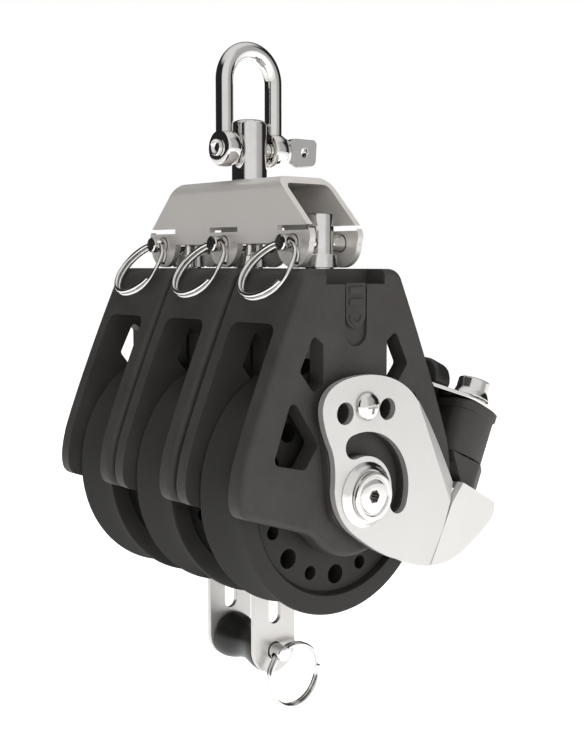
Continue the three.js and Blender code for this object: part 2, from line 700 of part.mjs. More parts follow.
function camArm() {
  let body = plateY(armOutline(), -ARM_OUTER, -ARM_INNER, 4);
  body = body.subtract(plateY(hookSlot(HOOK_HALF_WIDTH), -60, 0));
  body = body.subtract(rod(AXLE_HOLE, -60, 0, "y"));
  body = body.subtract(rod(2.3, -60, 0, "y").translate([0, 0, ARM_SCREW_HEIGHT]));
  for (const degrees of [71, 109]) {
    const angle = THREE.MathUtils.degToRad(degrees);
    const across = ARM_SCREW_HEIGHT * Math.cos(angle);
    const up = ARM_SCREW_HEIGHT * Math.sin(angle);
    body = body.subtract(rod(3.1, -60, 0, "y", 12).translate([across, 0, up]));
  }

  const foldTop = new THREE.Vector2(...FOLD_TOP);
  const foldBottom = new THREE.Vector2(...FOLD_BOTTOM);
  const foldLength = foldTop.distanceTo(foldBottom);
  const flange = new THREE.Shape();
  flange.moveTo(0, 0);
  flange.lineTo(foldLength, 0);
  flange.lineTo(foldLength - 3, 5.8);
  flange.quadraticCurveTo(foldLength * 0.35, 4.6, 0, 0.4);
  flange.closePath();
  const foldAngle = THREE.MathUtils.radToDeg(Math.atan2(foldBottom.y - foldTop.y, foldBottom.x - foldTop.x));
  body = body.add(
    plateZ(flange, -SHEET, 0, 4)
      .rotate([-24, 0, 0])
      .rotate([90, 0, 0])
      .rotate([0, -foldAngle, 0])
      .translate([foldTop.x, -ARM_OUTER, foldTop.y]),
  );

  const wing = new THREE.Shape();
  wing.moveTo(-1.2, -11.4);
  wing.quadraticCurveTo(10, -9.8, 20, 0);
  wing.quadraticCurveTo(29.4, 9, 29.4, 11.6);
  wing.quadraticCurveTo(29.4, PLATFORM_TOP, 25.6, PLATFORM_TOP);
  wing.lineTo(3.6, PLATFORM_TOP);
  wing.lineTo(0.4, 8.2);
  wing.closePath();
  const wingPlate = plateY(wing, 0, SHEET, 5)
    .rotate([0, 0, THREE.MathUtils.radToDeg(WING_ANGLE)])
    .translate([FOLD_ALONG, -ARM_OUTER, 0]);
  const platform = rounded([
    [39, -ARM_OUTER + 1.7],
    [63.4, -ARM_OUTER + 7.6, 1],
    [63.4, -UNIT_PITCH + 16.5, 3],
    [39, -UNIT_PITCH + 16.5, 3],
  ]);
  let shelf = plateZ(platform, PLATFORM_TOP - SHEET, PLATFORM_TOP, 4);
  for (const side of [-1, 1]) {
    const hole = rod(BASE_SCREW_RADIUS + 0.3, 0, 30, "z");
    shelf = shelf.subtract(hole.translate([BASE_SCREW_ALONG, -UNIT_PITCH + side * BASE_SCREW_SIDE, 0]));
  }
  return body.add(tilted(wingPlate)).add(tilted(shelf));
}

function armPad() {
  const outline = rounded([
    [-14.6, 26, 5],
    [-12.4, 9, 5],
    [-10.6, -6, 5],
    [4, -16.6, 5],
    [24, -19.8, 5],
    [29.6, -6, 4],
    [14.6, 27, 7],
    [0, 31.6, 8],
  ]);
  let body = plateY(outline, -PAD_FACE, -CHEEK_FACE - 0.1, 5);
  body = body.subtract(rod(AXLE_HOLE, -60, 0, "y"));
  return body.subtract(rod(2.3, -60, 0, "y").translate([0, 0, ARM_SCREW_HEIGHT]));
}

function armWasher() {
  return turned(
    [
      [AXLE_HOLE, -ARM_OUTER - 2.4],
      [7.2, -ARM_OUTER - 2.4],
      [7.6, -ARM_OUTER - 1.6],
      [9.2, -ARM_OUTER - 0.1],
      [AXLE_HOLE, -ARM_OUTER - 0.1],
    ],
    "y",
    FINE,
  );
}

function armScrew() {
  const face = -ARM_OUTER - 0.1;
  let body = turned(
    [
      [0, face - 2.6],
      [1.8, face - 2.4],
      [3.3, face - 1.7],
      [4.1, face - 0.4],
      [4.1, face],
      [2, face],
      [2, -CHEEK_FACE + 5.2],
      [0, -CHEEK_FACE + 5.2],
    ],
    "y",
  );
  body = body.subtract(box([-2, face - 4, -0.45], [2, face - 1, 0.45]));
  body = body.subtract(box([-0.45, face - 4, -2], [0.45, face - 1, 2]));
  return body.translate([0, 0, ARM_SCREW_HEIGHT]);
}

// The cam cleat, in its own frame: X along the slope away from the sheave, Z up from the platform.

function cleatBase() {
  const side = new THREE.Shape();
  side.moveTo(40.8, BASE_BOTTOM);
  side.lineTo(60, BASE_BOTTOM);
  side.lineTo(60, BASE_TOP);
  side.lineTo(33.2, BASE_TOP);
  side.closePath();
  const plan = rounded([
    [28, -16.4, 4], [50, -16.4, 5], [60, -8, 5],
    [60, 8, 5], [50, 16.4, 5], [28, 16.4, 4],
  ]);
  let body = plateY(side, -18, 18).intersect(plateZ(plan, 0, 40, 5));
  for (const hand of [-1, 1]) {
    const pivot = [CAM_BOLT_ALONG, hand * CAM_PIVOT_SIDE, 0];
    body = body.subtract(rod(CAM_BOLT_RADIUS + 0.2, CAM_BOLT_FOOT - 0.3, 40, "z").translate(pivot));
    body = body.subtract(rod(5.4, BASE_TOP - 2.6, 40, "z").translate(pivot));
    const screw = [BASE_SCREW_ALONG, hand * BASE_SCREW_SIDE, 0];
    body = body.subtract(rod(BASE_SCREW_RADIUS + 0.2, 0, BASE_SCREW_TIP + 0.3, "z").translate(screw));
  }
  return body;
}

// One cam about its pivot. Its toothed face is on the side of +Y, and X runs downstream.
function cam() {
  const outline = new THREE.Shape();
  const teeth = 6;
  const reach = (t) => 9.4 + 3.3 * t;
  const corner = (t, depth) => {
    const angle = THREE.MathUtils.degToRad(120 - 100 * t);
    const radius = reach(t) - depth;
    return [radius * Math.cos(angle), Math.min(radius * Math.sin(angle), CAM_PIVOT_SIDE - 0.5)];
  };
  outline.moveTo(...corner(0, 0.9));
  for (let i = 0; i < teeth; i++) {
    outline.lineTo(...corner((i + 0.45) / teeth, 0));
    outline.lineTo(...corner((i + 1) / teeth, 0.9));
  }
  outline.quadraticCurveTo(13.4, -1, 10, -4);
  outline.quadraticCurveTo(5, -6.6, -1, -6.6);
  outline.quadraticCurveTo(-6.2, -6.1, -6.5, 0);
  outline.closePath();
  let body = plateZ(outline, CAM_BOTTOM, CAM_TOP, 4);
  body = body.subtract(rod(CAM_BOLT_RADIUS + 0.15, 0, 60, "z"));
  return body.subtract(tube(3.6, 5.6, CAM_BOTTOM - 1, CAM_BOTTOM + 5, "z"));
}

function camBolt() {
  return turned(
    [
      [0, CAM_BOLT_FOOT],
      [CAM_BOLT_RADIUS, CAM_BOLT_FOOT],
      [CAM_BOLT_RADIUS, CAM_TOP + 1.8],
      [6.6, CAM_TOP + 1.8],
      [5.4, CAM_TOP + 3.4],
      [5.1, CAM_TOP + 4],
      [5.1, CAM_TOP + 7],
      [4.6, CAM_TOP + 7.6],
      [0, CAM_TOP + 7.6],
    ],
    "z",
    20,
  );
}

function baseScrew() {
  const seat = PLATFORM_TOP - SHEET - 0.2;
  const body = turned(
    [
      [0, seat - 2.4],
      [2.6, seat - 2.2],
      [4, seat - 0.8],
      [4, seat],
      [BASE_SCREW_RADIUS, seat],
      [BASE_SCREW_RADIUS, BASE_SCREW_TIP],
      [0, BASE_SCREW_TIP],
    ],
    "z",
  );
  return body.subtract(plateZ(hexagon(2.5), seat - 4, seat - 0.9));
}

// A torsion spring in the annular space under a cam.
function camSpring() {
  const turns = 2.5;
  const perTurn = 9;
  const points = [];
  for (let i = 0; i <= turns * perTurn; i++) {
    const angle = (i * 2 * Math.PI) / perTurn;
    points.push(new THREE.Vector3(
      4.6 * Math.cos(angle),
      4.6 * Math.sin(angle),
      BASE_TOP - 1.9 + (i / (turns * perTurn)) * 6,
    ));
  }
  const path = new THREE.CatmullRomCurve3(points);
  return solid(new THREE.ExtrudeGeometry(circle(0.45), {
    steps: 22,
    extrudePath: path,
    curveSegments: 2,
    bevelEnabled: false,
  }));
}

// The stainless strap over both cams, and the round guide that it holds over the rope's way in.

function cleatStrap() {
  const plan = rounded([
    [CAM_BOLT_ALONG - 6.4, -CAM_PIVOT_SIDE - 6.4, 5],
    [CAM_BOLT_ALONG + 6.4, -CAM_PIVOT_SIDE - 6.4, 5],
    [CAM_BOLT_ALONG + 6.4, CAM_PIVOT_SIDE + 6.4, 5],
    [CAM_BOLT_ALONG - 6.4, CAM_PIVOT_SIDE + 6.4, 5],
    [CAM_BOLT_ALONG - 15, CAM_PIVOT_SIDE - 3, 2],
    [CAM_BOLT_ALONG - 15, -CAM_PIVOT_SIDE + 3, 2],
  ]);
  let body = plateZ(plan, CAM_TOP + 0.3, CAM_TOP + 1.5, 4);
  for (const hand of [-1, 1]) {
    const hole = rod(CAM_BOLT_RADIUS + 0.2, 0, 60, "z");
    body = body.subtract(hole.translate([CAM_BOLT_ALONG, hand * CAM_PIVOT_SIDE, 0]));
  }
  return body;
}

function cleatGuide() {
  const low = CAM_TOP + 1.7;
  const arch = new THREE.Shape();
  arch.moveTo(-8, low);
  arch.lineTo(8, low);
  arch.lineTo(8, low + 2);
  arch.quadraticCurveTo(6.5, low + 8, 0, low + 8);
  arch.quadraticCurveTo(-6.5, low + 8, -8, low + 2);
  arch.closePath();
  return plateX(arch, CAM_BOLT_ALONG - 14.4, CAM_BOLT_ALONG - 6.6, 8);
}

// Assembly.

const root = new THREE.Group();
const block = new THREE.Group();
block.position.z = -AXLE_DROP;
root.add(block);

block.add(part("shackle_bow", shackleBow(), polished));
const shacklePinMesh = part("shackle_pin", shacklePin(), polished);
shacklePinMesh.position.z = SHACKLE_PIN_HEIGHT;
block.add(shacklePinMesh);
block.add(part("swivel_post", swivelPost(), polished));
block.add(part("swivel_washer", tube(4.6, 6.2, 85.3, 86.2, "z"), polished));
const nutSolid = plateZ(hexagon(13), 81, 85).subtract(rod(4.5, 70, 90, "z"));
block.add(part("swivel_nut", nutSolid, polished));
block.add(part("head_bracket", headBracket(), satin));

const units = { cam_side: -UNIT_PITCH, middle: 0, far_side: UNIT_PITCH };
for (const [unit, y] of Object.entries(units)) {
  const camSide = unit === "cam_side";
  const pieces = new THREE.Group();
  pieces.position.y = y;
  block.add(pieces);
  pieces.add(part(`shell_${unit}`, shell(unit === "middle", camSide), nylon));
  pieces.add(part(`load_strap_${unit}`, loadStrap(camSide), satin));
  pieces.add(part(`head_post_${unit}`, headPost(), polished));
  pieces.add(part(`sheave_${unit}`, sheave(), acetal));
  pieces.add(part(`ball_cage_${unit}`, ballCage(), ballWhite));
  pieces.add(part(`race_sleeve_${unit}`, tube(AXLE_RADIUS + 0.1, RACE_SLEEVE_RADIUS, -9.5, 9.5, "y"), satin));
  pieces.add(part(`axle_bolt_${unit}`, camSide ? armAxleBolt() : axleBolt(), polished));
  const nut = tube(AXLE_RADIUS + 0.1, AXLE_HEAD_RADIUS, 13.6, UNIT_HALF - 0.1, "y");
  pieces.add(part(`axle_nut_${unit}`, nut, polished));
  pieces.add(part(`lock_slider_${unit}`, lockSlider(), nylon));

  const pin = part(`clevis_pin_${unit}`, clevisPin(), polished);
  pin.position.z = PIN_HEIGHT;
  pieces.add(pin);
  const ring = part(`split_ring_${unit}`, splitRing(), polished);
  ring.position.set(-12.6, 0, PIN_HEIGHT);
  ring.rotation.y = RING_LEAN;
  pieces.add(ring);
}

block.add(part("becket_strap_cam_side", becketStrap(), bright));
const farStrap = becketStrap().translate([0, 2 * BECKET_OUTER - BECKET_THICKNESS, 0]);
block.add(part("becket_strap_far_side", farStrap, bright));
for (const [name, piece, material] of [
  ["becket_spool", becketSpool(), acetal],
  ["becket_pin", becketPin(), polished],
]) {
  const mesh = part(name, piece, material);
  mesh.position.z = -BECKET_PIN_DROP;
  block.add(mesh);
}
const becketRing = part("becket_ring", splitRing(), polished);
becketRing.rotation.set(0, -BECKET_RING_LEAN, Math.PI / 2, "YXZ");
becketRing.position.set(0, -14.6, -BECKET_PIN_DROP);
block.add(becketRing);

block.add(part("cam_arm", camArm(), bright));
block.add(part("arm_pad", armPad(), nylon));
block.add(part("arm_washer", armWasher(), polished));
block.add(part("arm_screw", armScrew(), polished));

const cleat = new THREE.Group();
cleat.position.y = -UNIT_PITCH;
cleat.rotation.y = CLEAT_TILT;
block.add(cleat);
cleat.add(part("cleat_base", cleatBase(), nylon));
cleat.add(part("cleat_strap", cleatStrap(), polished));
cleat.add(part("cleat_guide", cleatGuide(), acetal));
for (const [hand, side] of [["near", -1], ["far", 1]]) {
  const pieces = new THREE.Group();
  pieces.position.set(CAM_BOLT_ALONG, side * CAM_PIVOT_SIDE, 0);
  cleat.add(pieces);
  const camSolid = side < 0 ? cam() : cam().mirror([0, 1, 0]);
  pieces.add(part(`cam_${hand}`, camSolid, nylon));
  pieces.add(part(`cam_bolt_${hand}`, camBolt(), polished));
  pieces.add(part(`cam_spring_${hand}`, camSpring(), springSteel));
  const screw = part(`base_screw_${hand}`, baseScrew(), polished);
  screw.position.set(BASE_SCREW_ALONG, side * BASE_SCREW_SIDE, 0);
  cleat.add(screw);
}

export default root;
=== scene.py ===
"""Looks of a triple sheave block with a becket and a cam cleat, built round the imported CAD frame.

Pieces are drawn in millimetres from the middle sheave's centre, with +Z up and Y along the axles,
and settle() puts them into the frame, in metres.
"""

import math

import bmesh
import bpy
from mathutils import Matrix, Vector


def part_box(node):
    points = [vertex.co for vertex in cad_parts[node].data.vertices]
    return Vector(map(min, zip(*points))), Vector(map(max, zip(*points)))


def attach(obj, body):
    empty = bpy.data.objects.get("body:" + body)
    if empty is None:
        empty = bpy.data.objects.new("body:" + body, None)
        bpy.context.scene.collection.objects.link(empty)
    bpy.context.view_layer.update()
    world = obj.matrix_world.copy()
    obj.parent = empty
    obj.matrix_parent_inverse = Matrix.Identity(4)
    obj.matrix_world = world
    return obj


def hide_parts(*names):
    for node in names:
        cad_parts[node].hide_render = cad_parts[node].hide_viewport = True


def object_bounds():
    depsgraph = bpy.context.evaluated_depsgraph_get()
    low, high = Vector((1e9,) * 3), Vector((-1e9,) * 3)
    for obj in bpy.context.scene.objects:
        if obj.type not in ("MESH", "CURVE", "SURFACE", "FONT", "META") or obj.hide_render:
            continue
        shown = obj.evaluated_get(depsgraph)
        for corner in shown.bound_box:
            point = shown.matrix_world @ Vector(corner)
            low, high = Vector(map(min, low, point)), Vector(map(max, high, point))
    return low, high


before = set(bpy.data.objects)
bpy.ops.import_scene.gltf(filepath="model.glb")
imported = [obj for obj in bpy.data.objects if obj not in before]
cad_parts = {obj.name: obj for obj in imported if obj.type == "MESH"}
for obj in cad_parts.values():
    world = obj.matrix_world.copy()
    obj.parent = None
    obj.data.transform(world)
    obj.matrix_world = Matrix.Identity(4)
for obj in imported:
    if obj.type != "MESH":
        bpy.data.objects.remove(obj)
cad_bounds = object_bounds()

MM = 0.001


def middle(node):
    low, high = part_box(node)
    return (Vector(low) + Vector(high)) / 2


AXLE = middle("sheave_middle")
PITCH = (middle("sheave_far_side").y - AXLE.y) / MM
UNITS = {"cam_side": -PITCH, "middle": 0.0, "far_side": PITCH}

SHEAVE_RADIUS = 36
SHEAVE_HALF = 9.1
GROOVE_RADIUS = 29.6
WEB_HALF = 7.1
SHEAVE_HOLES = (2.8, 2)
SHEAVE_HOLE_PATH = 24.9
SHEAVE_HOLE_TURN = 3.7
BALL_RACE_RADIUS = 12.7
SLEEVE_RADIUS = 7
BALL_RADIUS = 2.65
BALL_COUNT = 10
AXLE_RADIUS = 4
AXLE_HOLE = 4.3
AXLE_HEAD_RADIUS = 6.9

UNIT_HALF = 15.3
CHEEK_INNER = 9.7
POCKET_OUTER = 13.6
SHELL_TOP = 62.2
SLOT_TOP = 47.6
HUB_LOBE = 18.4
SHELL_ROUNDING = 1.9
RECESS_LOW = 58
RECESS_INNER = 8
RECESS_HALF = 11
AXLE_SEAT = 13.4
SLIDER_RIBS = (53.2, 56.4)
GAP = 0.3

STRAP_HALF_WIDTH = 7.5
STRAP_OUTER = 13.3
STRAP_THICKNESS = 1.2
BRIDGE_TOP = 56.2

POST_RADIUS = 4
COLLAR_RADIUS = 5.1
COLLAR_TOP = 66.4
POST_FLANGE = 5.6
POST_TOP = 77.8
PIN_HEIGHT = 69.5
PIN_RADIUS = 2.4
PIN_HOLE = 2.65
PIN_TIP = -12.6

BRACKET_HALF = 10
BRACKET_TOP = 88.5
BRACKET_LOBE = 7
BRACKET_END = 39.3
BRACKET_SLOT_HALF = 6.9
SHEET = 2

RING_RADIUS = 9.6
RING_WIRE = 0.66
RING_START = 200
RING_LEAN = 39
BECKET_RING_LEAN = 33
BECKET_RING_PLACE = -14.6

SWIVEL_RADIUS = 5.3
SWIVEL_TOP = 106.7
SHACKLE_PIN_HEIGHT = 98
SHACKLE_WIRE = 2.6
SHACKLE_HALF = 9.3
BOW_CENTRE = -AXLE.z / MM + SHACKLE_WIRE - SHACKLE_HALF

BECKET_DROP = 54.5
BECKET_HALF = 8.1
BECKET_OUTER = 11.9
BECKET_THICKNESS = 1.6
SPOOL_RADIUS = 7.2

CHEEK_FACE = PITCH + UNIT_HALF
PAD_FACE = CHEEK_FACE + 2.3
ARM_INNER = CHEEK_FACE + 2.5
ARM_OUTER = ARM_INNER + SHEET
ARM_SCREW_HEIGHT = 24.6
ARM_SIDE_HOLE = 3.1
SCREW_HOLE = 2.3
FLANGE_FOLD = 24
FOLD_TOP = (20.4, 24.4)
FOLD_BOTTOM = (34.4, -6.4)

CLEAT_TILT = 24
PLATFORM_TOP = 15.1
BASE_BOTTOM = 15.4
BASE_TOP = 23.2
CAM_BOTTOM = 23.6
CAM_TOP = 40
CAM_ALONG = 39.6
CAM_SIDE = 10.4
BASE_SCREW_ALONG = 52
BASE_SCREW_SIDE = 9
WING_ANGLE = 14
FOLD_ALONG = 34.8


# Camera, floor and light.

CAMERA_FROM_AXLE = Vector((-0.2202, -0.2817, 0.0638))
CAMERA_AZIMUTH = 40.16
CAMERA_PITCH = -5.12
CAMERA_LENS = 57.04
CAMERA_SENSOR = 36

# What the polished steel mirrors, as (place, grey): once round the horizon, starting beyond the
# object as the camera sees it, and once from straight down to straight up. The lighter one counts.
HORIZON_GREYS = (
    (0.0, 0.03), (0.40, 0.02), (0.44, 0.9), (0.61, 0.9),
    (0.67, 0.55), (0.74, 0.5), (0.78, 0.02), (1.0, 0.03),
)
HEIGHT_GREYS = ((0.0, 0.9), (0.35, 0.5), (0.46, 0.0), (0.80, 0.0), (0.92, 0.8), (1.0, 0.9))

# Lamps, as name, place from the middle sheave in metres, size in metres, and power.
LAMPS = (
    ("key", (-0.7, -0.5, 0.35), (0.5, 0.6), 1.4),
    ("side", (0.15, -0.9, 0.15), (0.5, 0.6), 1.9),
    ("top", (0.0, 0.0, 0.75), (0.8, 0.8), 3),
    ("back", (0.6, 0.7, 0.3), (0.8, 0.6), 3),
)

FLOOR_HALF = 6
FLOOR_DROP = 0.05
FLOOR_GLOW = 0.62


def look():
    camera = bpy.data.objects.new("camera", bpy.data.cameras.new("camera"))
    camera.location = AXLE + CAMERA_FROM_AXLE
    camera.rotation_euler = (math.radians(90 + CAMERA_PITCH), 0, math.radians(-CAMERA_AZIMUTH))
    camera.data.lens = CAMERA_LENS
    camera.data.sensor_width = CAMERA_SENSOR
    camera.data.clip_start = 0.01
    camera.data.clip_end = 50
    bpy.context.scene.collection.objects.link(camera)
    bpy.context.scene.camera = camera


def softbox(name, position, size, power):
    """A lamp aimed at the middle sheave. It lights the surfaces and isn't mirrored in them."""
    lamp = bpy.data.lights.new(name, "AREA")
    lamp.shape = "RECTANGLE"
    lamp.size, lamp.size_y = size
    lamp.energy = power
    holder = bpy.data.objects.new(name, lamp)
    holder.location = AXLE + Vector(position)
    holder.rotation_euler = (-Vector(position)).to_track_quat("-Z", "Y").to_euler()
    holder.visible_glossy = False
    bpy.context.scene.collection.objects.link(holder)


# Mesh building, in millimetres. Edges steeper than SHARP degrees stay sharp in the shading.

SHARP = 32
ARM_SHARP = 11


def piece(name, verts, faces):
    mesh = bpy.data.meshes.new(name)
    mesh.from_pydata([tuple(v) for v in verts], [], faces)
    mesh.update()
    obj = bpy.data.objects.new(name, mesh)
    bpy.context.scene.collection.objects.link(obj)
    outward(obj)
    return obj


def outward(obj):
    shape = bmesh.new()
    shape.from_mesh(obj.data)
    bmesh.ops.remove_doubles(shape, verts=shape.verts, dist=1e-4)
    bmesh.ops.recalc_face_normals(shape, faces=shape.faces)
    shape.to_mesh(obj.data)
    shape.free()


def place_point(axis, along, a, b):
    """A point from its place along an axis and its two other coordinates."""
    return {"x": (along, a, b), "y": (a, along, b), "z": (a, b, along)}[axis]


def prism(outline, low, high, axis="y"):
    count = len(outline)
    verts = [place_point(axis, low, a, b) for a, b in outline]
    verts += [place_point(axis, high, a, b) for a, b in outline]
    faces = [tuple(range(count)), tuple(range(count, 2 * count))[::-1]]
    for i in range(count):
        j = (i + 1) % count
        faces.append((i, j, j + count, i + count))
    return piece("prism", verts, faces)


def block(low, high):
    (x0, y0, z0), (x1, y1, z1) = low, high
    return prism([(x0, z0), (x1, z0), (x1, z1), (x0, z1)], y0, y1)


def turned(profile, axis="y", sides=96):
    """A turned solid from (radius, along) points. A profile off the axis closes on itself."""
    verts = []
    rows = []
    for radius, along in profile:
        if radius < 1e-6:
            rows.append([len(verts)] * sides)
            verts.append(place_point(axis, along, 0, 0))
            continue
        rows.append(list(range(len(verts), len(verts) + sides)))
        for k in range(sides):
            angle = 2 * math.pi * k / sides
            across, up = radius * math.cos(angle), radius * math.sin(angle)
            verts.append(place_point(axis, along, across, up))
    if profile[0][0] > 0 or profile[-1][0] > 0:
        rows.append(rows[0])
    faces = []
    for one, two in zip(rows, rows[1:]):
        for k in range(sides):
            j = (k + 1) % sides
            corners = [one[k], one[j], two[j], two[k]]
            corners = [c for i, c in enumerate(corners) if c not in corners[:i]]
            if len(corners) > 2:
                faces.append(tuple(corners))
    return piece("turned", verts, faces)


def rod(radius, low, high, axis="y", sides=48):
    return turned([(0, low), (radius, low), (radius, high), (0, high)], axis, sides)


def tube(inner, outer, low, high, axis="y", sides=64):
    edge = 0.15
    return turned(
        [
            (inner + edge, low), (outer - edge, low), (outer, low + edge),
            (outer, high - edge), (outer - edge, high), (inner + edge, high),
            (inner, high - edge), (inner, low + edge),
        ],
        axis,
        sides,
    )


def sweep(points, radius, sides):
    """A round wire along points, with flat ends."""
    points = [Vector(p) for p in points]
    verts = []
    rings = []
    across = None
    for i, point in enumerate(points):
        ahead = points[min(i + 1, len(points) - 1)] - points[max(i - 1, 0)]
        ahead.normalize()
        if across is None:
            across = ahead.orthogonal().normalized()
        across = (across - ahead * across.dot(ahead)).normalized()
        other = ahead.cross(across)
        rings.append(len(verts))
        for k in range(sides):
            angle = 2 * math.pi * k / sides
            verts.append(point + (across * math.cos(angle) + other * math.sin(angle)) * radius)
    faces = [tuple(range(sides)), tuple(range(rings[-1], rings[-1] + sides))[::-1]]
    for one, two in zip(rings, rings[1:]):
        for k in range(sides):
            j = (k + 1) % sides
            faces.append((one + k, one + j, two + j, two + k))
    return piece("sweep", verts, faces)


def baked(obj):
    """Applies the object's modifiers."""
    graph = bpy.context.evaluated_depsgraph_get()
    mesh = bpy.data.meshes.new_from_object(obj.evaluated_get(graph))
    obj.modifiers.clear()
    obj.data = mesh
    return obj


def combine(obj, others, operation):
    for other in others:
        step = obj.modifiers.new("combine", "BOOLEAN")
        step.operation = operation
        step.solver = "EXACT"
        step.object = other
        baked(obj)
        bpy.data.objects.remove(other)
    return obj


def cut(obj, *others):
    return combine(obj, others, "DIFFERENCE")


def joined(obj, *others):
    return combine(obj, others, "UNION")


def common(obj, *others):
    return combine(obj, others, "INTERSECT")


def turn(obj, degrees, axis):
    obj.data.transform(Matrix.Rotation(math.radians(degrees), 4, axis))
    return obj


def shift(obj, x=0, y=0, z=0):
    obj.data.transform(Matrix.Translation((x, y, z)))
    return obj


def copy(obj):
    twin = bpy.data.objects.new(obj.name, obj.data.copy())
    bpy.context.scene.collection.objects.link(twin)
    return twin


def softened(obj, width=0.25, segments=2, angle=38):
    """Rounds the sharp edges a little."""
    step = obj.modifiers.new("edges", "BEVEL")
    step.width = width
    step.segments = segments
    step.limit_method = "ANGLE"
    step.angle_limit = math.radians(angle)
    step.miter_outer = "MITER_ARC"
    step.use_clamp_overlap = True
    return baked(obj)


def round_rim(obj, faces_at, radius):
    """Rounds the outline edges of the flat end faces at these Y positions."""
    shape = bmesh.new()
    shape.from_mesh(obj.data)
    edges = []
    for edge in shape.edges:
        ys = [v.co.y for v in edge.verts]
        for at in faces_at:
            if all(abs(y - at) < 1e-3 for y in ys):
                edges.append(edge)
    bmesh.ops.bevel(
        shape, geom=edges, offset=radius, offset_type="OFFSET", segments=5, profile=0.5,
        affect="EDGES", clamp_overlap=True,
    )
    shape.to_mesh(obj.data)
    shape.free()
    return obj


def settle(obj, body, node, look_of, sharp=SHARP):
    """Names a piece, puts it into the frame, and gives it its body, CAD node and material."""
    slot_name, finish = look_of
    obj.name = obj.data.name = f"{node}_fine"
    obj.data.transform(Matrix.Translation(AXLE) @ Matrix.Scale(MM, 4))
    shape = bmesh.new()
    shape.from_mesh(obj.data)
    bmesh.ops.remove_doubles(shape, verts=shape.verts, dist=1e-7)
    bmesh.ops.dissolve_degenerate(shape, edges=shape.edges, dist=1e-7)
    shape.to_mesh(obj.data)
    shape.free()
    obj.data.shade_smooth()
    obj.data.set_sharp_from_angle(angle=math.radians(sharp))
    weight = obj.modifiers.new("normals", "WEIGHTED_NORMAL")
    weight.keep_sharp = True
    weight.weight = 80
    obj.data.materials.clear()
    obj.data.materials.append(finish)
    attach(obj, body)
    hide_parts(node)


# Outlines.


def fillet(corners, steps=6):
    """Outline points from (across, up, corner radius), with round corners as arcs."""
    out = []
    count = len(corners)
    for i, (x, y, *rest) in enumerate(corners):
        radius = rest[0] if rest else 0
        here = Vector((x, y))
        if radius <= 0:
            out.append((x, y))
            continue
        back = (Vector(corners[i - 1][:2]) - here).normalized()
        on = (Vector(corners[(i + 1) % count][:2]) - here).normalized()
        half = back.angle(on) / 2
        centre = here + (back + on).normalized() * (radius / math.sin(half))
        start = here + back * (radius / math.tan(half)) - centre
        end = here + on * (radius / math.tan(half)) - centre
        first = math.atan2(start.y, start.x)
        sweep_angle = (math.atan2(end.y, end.x) - first + math.pi) % (2 * math.pi) - math.pi
        for k in range(steps + 1):
            angle = first + sweep_angle * k / steps
            out.append((centre.x + radius * math.cos(angle), centre.y + radius * math.sin(angle)))
    return out


def curved(start, *legs, steps=10):
    """An outline from a start and legs: (x, y) is straight, (control x, y, end x, y) is a curve."""
    out = [start]
    for leg in legs:
        if len(leg) == 2:
            out.append(leg)
            continue
        x0, y0 = out[-1]
        cx, cy, x1, y1 = leg
        for k in range(1, steps + 1):
            t = k / steps
            a, b, c = (1 - t) ** 2, 2 * t * (1 - t), t * t
            out.append((a * x0 + b * cx + c * x1, a * y0 + b * cy + c * y1))
    return out


def arc(radius, first, last, steps, x=0, y=0):
    angles = [math.radians(first + (last - first) * k / steps) for k in range(steps + 1)]
    return [(x + radius * math.cos(a), y + radius * math.sin(a)) for a in angles]


def slot(half, low, high, steps=14):
    return arc(half, 0, 180, steps, 0, high - half) + arc(half, 180, 360, steps, 0, low + half)


def hexagon(across_flats):
    return arc(across_flats / math.sqrt(3), 0, 300, 5)


def mirrored(corners):
    return [(-x, y, *rest) for x, y, *rest in corners]


# Materials. Noise values outside these two take the darker or the lighter end.

NOISE_LOW = 0.3
NOISE_HIGH = 0.7


def material(name, colour, roughness, metallic=0.0):
    made = bpy.data.materials.new(name)
    made.use_nodes = True
    nodes = made.node_tree.nodes
    shader = nodes["Principled BSDF"]
    shader.inputs["Base Color"].default_value = (*colour, 1)
    shader.inputs["Roughness"].default_value = roughness
    shader.inputs["Metallic"].default_value = metallic
    where = nodes.new("ShaderNodeTexCoord")
    return made, nodes, made.node_tree.links, shader, where.outputs["Object"]


def stretched(nodes, links, source, scale, offset=(0, 0, 0)):
    mapping = nodes.new("ShaderNodeMapping")
    mapping.inputs["Scale"].default_value = scale
    mapping.inputs["Location"].default_value = offset
    links.new(source, mapping.inputs["Vector"])
    return mapping.outputs["Vector"]


def noise(nodes, links, source, scale, detail=3.0, rough=0.55):
    made = nodes.new("ShaderNodeTexNoise")
    made.inputs["Scale"].default_value = scale
    made.inputs["Detail"].default_value = detail
    made.inputs["Roughness"].default_value = rough
    links.new(source, made.inputs["Vector"])
    return made.outputs["Fac"]


def ranged(nodes, links, source, low, high):
    made = nodes.new("ShaderNodeMapRange")
    made.inputs["From Min"].default_value = NOISE_LOW
    made.inputs["From Max"].default_value = NOISE_HIGH
    made.inputs["To Min"].default_value = low
    made.inputs["To Max"].default_value = high
    links.new(source, made.inputs["Value"])
    return made.outputs["Result"]


def tinted(nodes, links, source, dark, light):
    ramp = nodes.new("ShaderNodeValToRGB")
    ramp.color_ramp.elements[0].position = NOISE_LOW
    ramp.color_ramp.elements[0].color = (*dark, 1)
    ramp.color_ramp.elements[1].position = NOISE_HIGH
    ramp.color_ramp.elements[1].color = (*light, 1)
    links.new(source, ramp.inputs["Fac"])
    return ramp.outputs["Color"]


def bumped(nodes, links, shader, source, strength, distance):
    made = nodes.new("ShaderNodeBump")
    made.inputs["Strength"].default_value = strength
    made.inputs["Distance"].default_value = distance
    links.new(source, made.inputs["Height"])
    links.new(made.outputs["Normal"], shader.inputs["Normal"])


